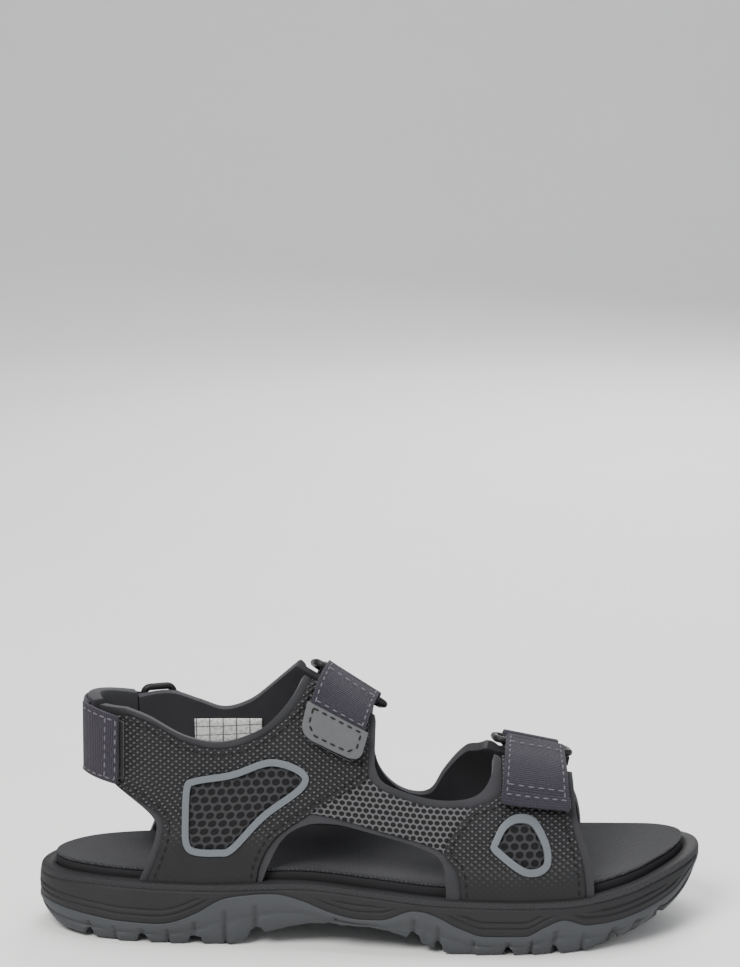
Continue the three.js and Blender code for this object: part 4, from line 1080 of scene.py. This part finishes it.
def off_foot(x, z, outer, height):
    """Points at a height off the outer or the inner side of the foot, and the normals there."""
    outer = outer[..., None]
    ground = np.where(outer, on_foot(LATERAL, x, z), on_foot(MEDIAL, x, z))
    px, py, pz = np.moveaxis(ground, -1, 0)
    normal = np.where(outer, foot_normal(LATERAL, px, py, pz), foot_normal(MEDIAL, px, py, pz))
    return ground + normal * np.asarray(height)[..., None], normal


def wrap(x, angle, height=0.0):
    """Points and normals at an angle round the foot: 0 at the outer ledge, 90 at the crest, 180 at the inner ledge."""
    x, angle = np.broadcast_arrays(np.asarray(x, float), np.asarray(angle, float))
    z = foam_top(x) + (crest(x) - foam_top(x)) * np.sin(np.radians(angle))
    z = np.minimum(z, crest(x) - 0.001)
    return off_foot(x, z, angle <= 90, height)


def strap_edges(strap, angle):
    share = np.clip((strap["near"] - angle) / (strap["near"] - strap["low_angle"]), 0, 1.2)
    return [strap["top"][i] + (strap["low"][i] - strap["top"][i]) * share for i in (0, 1)]


def ribbon(name, strap, start, end, margin, layer, rise=None, corner=0.0, edge=0.45, segments=3):
    """A band across the foot between two angles. The end's corners may be rounded."""
    angles = np.linspace(start, end, max(8, int(abs(start - end) * 1.4)))
    rear, front = strap_edges(strap, angles)
    middles, _ = wrap((rear + front) / 2, angles, layer[0])
    travel = np.concatenate([[0], np.cumsum(np.linalg.norm(np.diff(middles, axis=0), axis=1))])
    left = np.clip(corner - (travel[-1] - travel), 0, corner)
    narrow = margin + corner - np.sqrt(np.maximum(corner**2 - left**2, 0))
    across = np.linspace(0, 1, STRAP_COLUMNS)
    x = (rear + narrow)[:, None] + (front - rear - 2 * narrow)[:, None] * across
    turn = np.repeat(angles[:, None], STRAP_COLUMNS, axis=1)
    lift = rise(turn) if rise else np.zeros_like(turn)
    inner, _ = wrap(x, turn, layer[0] + lift)
    outer, _ = wrap(x, turn, layer[1] + lift)
    uvs = np.stack([x, np.repeat(travel[:, None], STRAP_COLUMNS, axis=1)], axis=-1)
    return grid_sheet(name, inner, outer, uvs, edge, segments)


def strap_run(strap, spots, height, rise=None):
    """A stitch run through (share across, angle) spots of a strap."""
    dense = even(np.array([(s * STRAP_WIDTH, a) for s, a in spots], float), 1.0)
    share, angle = dense[:, 0] / STRAP_WIDTH, dense[:, 1]
    rear, front = strap_edges(strap, angle)
    lift = rise(angle) if rise else 0.0
    return wrap(rear + (front - rear) * share, angle, height + lift)


def strap_bars(strap):
    x, half = sum(strap["top"]) / 2, (strap["top"][1] - strap["top"][0]) / 2
    near, _ = wrap(x, strap["near"], BAR_HEIGHT)
    far, _ = wrap(x, strap["far"], BAR_HEIGHT)
    ends = [wrap(x + k * half, strap["near"])[0] for k in (-1, 1)]
    width = float(np.linalg.norm(ends[1] - ends[0]))
    u = unit(ends[1] - ends[0])
    across = far - near
    across -= u * across.dot(u)
    return bar_frame(near, u, across), bar_frame(near + across, u, across), width, float(np.linalg.norm(across))


def make_strap(name, strap):
    near, far, width, span = strap_bars(strap)
    low, top = strap["low_angle"], strap["near"]
    ring_body, flap_body = f"{name}_ring_body", f"{name}_flap_body"
    make_ring(f"{name}_ring_look", near, width + 7.2, span, ring_body, f"{name}_ring")

    tail = ribbon(f"{name}_keeper_look", strap, strap["far"] + strap["tail_start"], strap["tail"], 0.5, KEEPER)
    finish_piece(tail, WEBBING, replaces=[f"{name}_ring_keeper"])
    make_loop(f"{name}_keeper_loop", far, width - 1, ROOT)
    a, b = strap["far"] + 6, strap["tail"] - 2.5
    box = [(0.1, a), (0.9, a), (0.9, b), (0.1, b), (0.1, a)]
    stitch(f"{name}_keeper_stitching", [strap_run(strap, box, KEEPER[1] + 0.03)], ROOT, PALE_THREAD)

    rise = lambda angle: 1.35 * np.clip(1 - (top - angle) / SETTLE, 0, 1) ** 2
    flap = ribbon(f"{name}_flap_look", strap, top, low, 0, FLAP, rise, corner=0.0 if name == "instep" else 1.5)
    finish_piece(flap, WEBBING, flap_body, [f"{name}_flap"])
    make_loop(f"{name}_flap_loop", near, width - 1, flap_body)
    hook = ribbon(f"{name}_hook_look", strap, top - SETTLE - 1, low + 2, 2.5, HOOK, edge=0.2, segments=1)
    finish_piece(hook, FASTENER, flap_body, [f"{name}_hook_patch"])
    pile_look = ribbon(f"{name}_pile_look", strap, top - SETTLE, strap["pile_low"], 2, PILE, edge=0.2, segments=1)
    finish_piece(pile_look, FASTENER, ROOT, [f"{name}_pile_patch"])

    height = FLAP[1] + 0.03
    lines = [[(0.07, top - 2), (0.07, low + 1.5)], [(0.93, top - 2), (0.93, low + 1.5)],
             [(0.07, top - 7), (0.93, top - 7)]]
    if name == "instep":
        lines += [[(0.07, low + 13.5), (0.93, low + 13.5)]]
    else:
        lines += [[(0.07, low + 10), (0.93, low + 10)]]
        hem = ribbon("forefoot_hem_look", strap, low + 6, low - 0.4, -0.1, (FLAP[1] - 0.1, FLAP[1] + 1.1), corner=1.5)
        finish_piece(hem, WEBBING, flap_body)
        stitch("forefoot_hem_stitching", [strap_run(strap, [(0.05, low + 4.2), (0.95, low + 4.2)], FLAP[1] + 1.13)],
               flap_body, PALE_THREAD)
    runs = [strap_run(strap, line, height, rise) for line in lines]
    stitch(f"{name}_flap_stitching", runs, flap_body, PALE_THREAD)


def make_pull_tab(strap):
    low = strap["low_angle"]
    tab = ribbon("pull_tab_look", strap, low + 11, low - 2.5, -1.5, TAB, corner=5.0, edge=0.5)
    finish_piece(tab, TAB_RUBBER, "instep_flap_body", ["instep_pull_tab"])
    a, b = low + 9.4, low - 0.4
    frame_line = [(0.06, a), (0.94, a), (0.94, b + 3), (0.8, b), (0.2, b), (0.06, b + 3), (0.06, a)]
    runs = [strap_run(strap, frame_line, TAB[1] + 0.02)]
    stitch("pull_tab_stitching", runs, "instep_flap_body", BLACK_THREAD)


for name, strap in STRAPS.items():
    make_strap(name, strap)
make_pull_tab(STRAPS["instep"])


# ------------------------------------------------------------------ heel strap
HEEL_COLUMNS = 22
HEEL_STRAP_WIDTH = 33


def heel_spot(angle, share, margin, height=0.0):
    """Points round the heel: angle 0 at the back, negative to the outer side; share 0 at the low edge."""
    angle, share = np.broadcast_arrays(np.asarray(angle, float), np.asarray(share, float))
    bend = (angle / 50) ** 2
    low, high = 70 - 2 * bend + margin, 103 - 5 * bend - margin
    z = low + (high - low) * share
    along = np.abs(np.cos(np.radians(angle))) ** (2 / END_ROUNDNESS)
    x = np.full_like(z, -HALF_LENGTH + LEDGE)
    for _ in range(4):
        x = -foot_half(x, z) * along
    return off_foot(x, z, angle < 0, height)


def heel_limit(share, margin, height, start, end, reached):
    """For each share, the angle between two others where a test of the point turns true."""
    low, high = np.full_like(share, start), np.full_like(share, end)
    for _ in range(24):
        mid = (low + high) / 2
        over = reached(heel_spot(mid, share, margin, height)[0])
        low, high = np.where(over, low, mid), np.where(over, mid, high)
    return low


def heel_band(name, start, end, margin, layer, edge=0.45, segments=3, puff=0.0):
    """A band round the heel. Its ends are angles, or arrays of angles, one for each share of its width."""
    shares = np.linspace(0, 1, HEEL_COLUMNS)
    start, end = [np.broadcast_to(v, HEEL_COLUMNS) for v in (start, end)]
    steps = np.linspace(0, 1, 60)[:, None]
    angle = start + (end - start) * steps
    share = np.broadcast_to(shares, angle.shape)
    crown = puff * np.sin(math.pi * share) ** 0.6 * np.sin(math.pi * np.clip(steps, 0.02, 0.98)) ** 0.3
    inner, _ = heel_spot(angle, share, margin, layer[0] - crown)
    outer, _ = heel_spot(angle, share, margin, layer[1])
    travel = np.linalg.norm(np.diff(inner, axis=0), axis=2).cumsum(axis=0)
    travel = np.concatenate([np.zeros((1, HEEL_COLUMNS)), travel])
    uvs = np.stack([share * HEEL_STRAP_WIDTH, travel], axis=-1)
    return grid_sheet(name, inner, outer, uvs, edge, segments)


def heel_run(spots, margin, height):
    dense = even(np.array([(s * HEEL_STRAP_WIDTH, a) for s, a in spots], float), 1.0)
    return heel_spot(dense[:, 1], dense[:, 0] / HEEL_STRAP_WIDTH, margin, height)


def make_heel_strap():
    x_rear, x_front = -99.5, -87.5
    centre, high, low = 82, 96, 68
    x_middle = (x_rear + x_front) / 2
    u = unit(on_foot(MEDIAL, x_middle, high) - on_foot(MEDIAL, x_middle, low))
    rear, front = on_foot(MEDIAL, x_rear, centre, BAR_HEIGHT), on_foot(MEDIAL, x_front, centre, BAR_HEIGHT)
    across = rear - front
    across -= u * across.dot(u)
    front_frame, rear_frame = bar_frame(front, u, across), bar_frame(front + across, u, across)
    make_ring("heel_ring_look", front_frame, 36.2, float(np.linalg.norm(across)), "heel_ring_body", "heel_ring")
    make_loop("heel_keeper_loop", front_frame, 29, ROOT)
    make_loop("heel_strap_loop", rear_frame, 29, "heel_strap_body")

    tail = outline([[[-85.7, 69], [-85.7, 93]], [[-71, 88.5], [-71, 71]]])
    keeper = panel("heel_keeper_look", MEDIAL, tail, KEEPER, edge=0.4)
    finish_piece(keeper, WEBBING, replaces=["heel_ring_keeper"])
    stitch("heel_keeper_stitching", edge_runs(MEDIAL, tail, 2.0, 1.0, KEEPER[1] + 0.03), ROOT, PALE_THREAD)

    shares = np.linspace(0, 1, HEEL_COLUMNS)
    outer_end = lambda margin, height: heel_limit(shares, margin, height, 0, -30, lambda p: p[..., 1] < -8.6)
    inner_end = lambda margin, height, x: heel_limit(shares, margin, height, 0, 75, lambda p: p[..., 0] > x)
    pad = heel_band("heel_pad_look", outer_end(-1.5, 2.5), inner_end(-1.5, 2.5, -104.4), -1.5, (0, HEEL_PAD),
                    1.6, 5, puff=1.6)
    finish_piece(pad, NEOPRENE, "heel_strap_body", ["heel_pad"])
    band = heel_band("heel_strap_look", outer_end(0, 6), inner_end(0, 6, -101.8), 0, HEEL_WEBBING)
    finish_piece(band, WEBBING, "heel_strap_body", ["heel_strap"])
    lines = [[(0.07, -8), (0.07, 50)], [(0.93, -8), (0.93, 50)]]
    runs = [heel_run(line, 0, HEEL_WEBBING[1] + 0.03) for line in lines]
    stitch("heel_strap_stitching", runs, "heel_strap_body", PALE_THREAD)

    flap = heel_band("heel_flap_look", -12, -43, 0, FLAP)
    finish_piece(flap, WEBBING, "heel_flap_body", ["heel_strap_flap"])
    hook = heel_band("heel_hook_look", -22, -41, 3, HOOK, edge=0.2, segments=1)
    finish_piece(hook, FASTENER, "heel_flap_body", ["heel_hook_patch"])
    pile_look = heel_band("heel_pile_look", -20, -44, 2.5, PILE, edge=0.2, segments=1)
    finish_piece(pile_look, FASTENER, ROOT, ["heel_pile_patch"])
    lines = [[(0.07, -14), (0.07, -41.5), (0.93, -41.5), (0.93, -14)], [(0.07, -35), (0.93, -35)]]
    runs = [heel_run(line, 0, FLAP[1] + 0.03) for line in lines]
    stitch("heel_flap_stitching", runs, "heel_flap_body", PALE_THREAD)


def make_label():
    tape = outline([[[-78.7, 75], [-78.7, 86.5]], [[-48.5, 86.5], [-48.5, 75]]])
    label = panel("size_label_look", MEDIAL, tape, (-1.0, -0.3), edge=0.15, segments=1)
    finish_piece(label, LABEL, replaces=["size_label"])


make_heel_strap()
make_label()


# ------------------------------------------------------------------ stage
def area_light(name, place, aim, size, watts, warmth=(1, 1, 1)):
    light = bpy.data.lights.new(name, "AREA")
    light.shape = "DISK"
    light.size = size
    light.energy = watts
    light.color = warmth
    obj = bpy.data.objects.new(name, light)
    obj.location = place
    obj.rotation_euler = (Vector(aim) - Vector(place)).to_track_quat("-Z", "Y").to_euler()
    bpy.context.scene.collection.objects.link(obj)
    return obj


def make_stage():
    reach, back, height, curve = 3.0, 2.2, 2.6, 0.8
    turn = np.linspace(0, math.pi / 2, 16)
    ys = [-reach, *(back - curve + curve * np.sin(turn)), back]
    zs = [0, *(curve - curve * np.cos(turn)), height]
    points = [(x / MM, y / MM, (z - 0.0002) / MM) for y, z in zip(ys, zs) for x in (-reach, reach)]
    floor = new_object("studio_floor", points, grid_faces(len(ys), 2))
    s = Shader("studio_paper", 0.85, 0.2)
    paper = s.blend(s.noise(6.0), (0.86, 0.86, 0.85), (0.90, 0.90, 0.89))
    floor.data.materials.append(s.finish(paper, s.noise(700.0), 0.05))
    world = bpy.data.worlds.new("studio_air")
    world.use_nodes = True
    world.node_tree.nodes["Background"].inputs["Color"].default_value = (0.93, 0.95, 1.0, 1)
    world.node_tree.nodes["Background"].inputs["Strength"].default_value = 0.42
    bpy.context.scene.world = world
    aim = (0, 0, 0.05)
    key = area_light("key_light", (-0.55, -0.9, 1.15), aim, 0.8, 25, (1, 0.985, 0.96))
    fill = area_light("fill_light", (1.1, -0.9, 0.5), aim, 1.2, 5)
    top = area_light("top_light", (0.1, 0.25, 1.4), aim, 1.0, 14)
    rim = area_light("rim_light", (0.3, 1.2, 0.7), aim, 0.8, 9)


def make_camera():
    """A long lens a little above the shoe, square to its outer side."""
    distance, rise, pitch = 1.5, math.radians(18), math.radians(5.375)
    camera = bpy.data.objects.new("photo_camera", bpy.data.cameras.new("photo_camera"))
    camera.data.lens = 124.9
    camera.data.sensor_width = 36
    camera.location = (0, -math.cos(rise) * distance, 0.055 + math.sin(rise) * distance)
    camera.rotation_euler = (math.pi / 2 - rise + pitch, 0, 0)
    bpy.context.scene.collection.objects.link(camera)
    bpy.context.scene.camera = camera


make_stage()
make_camera()
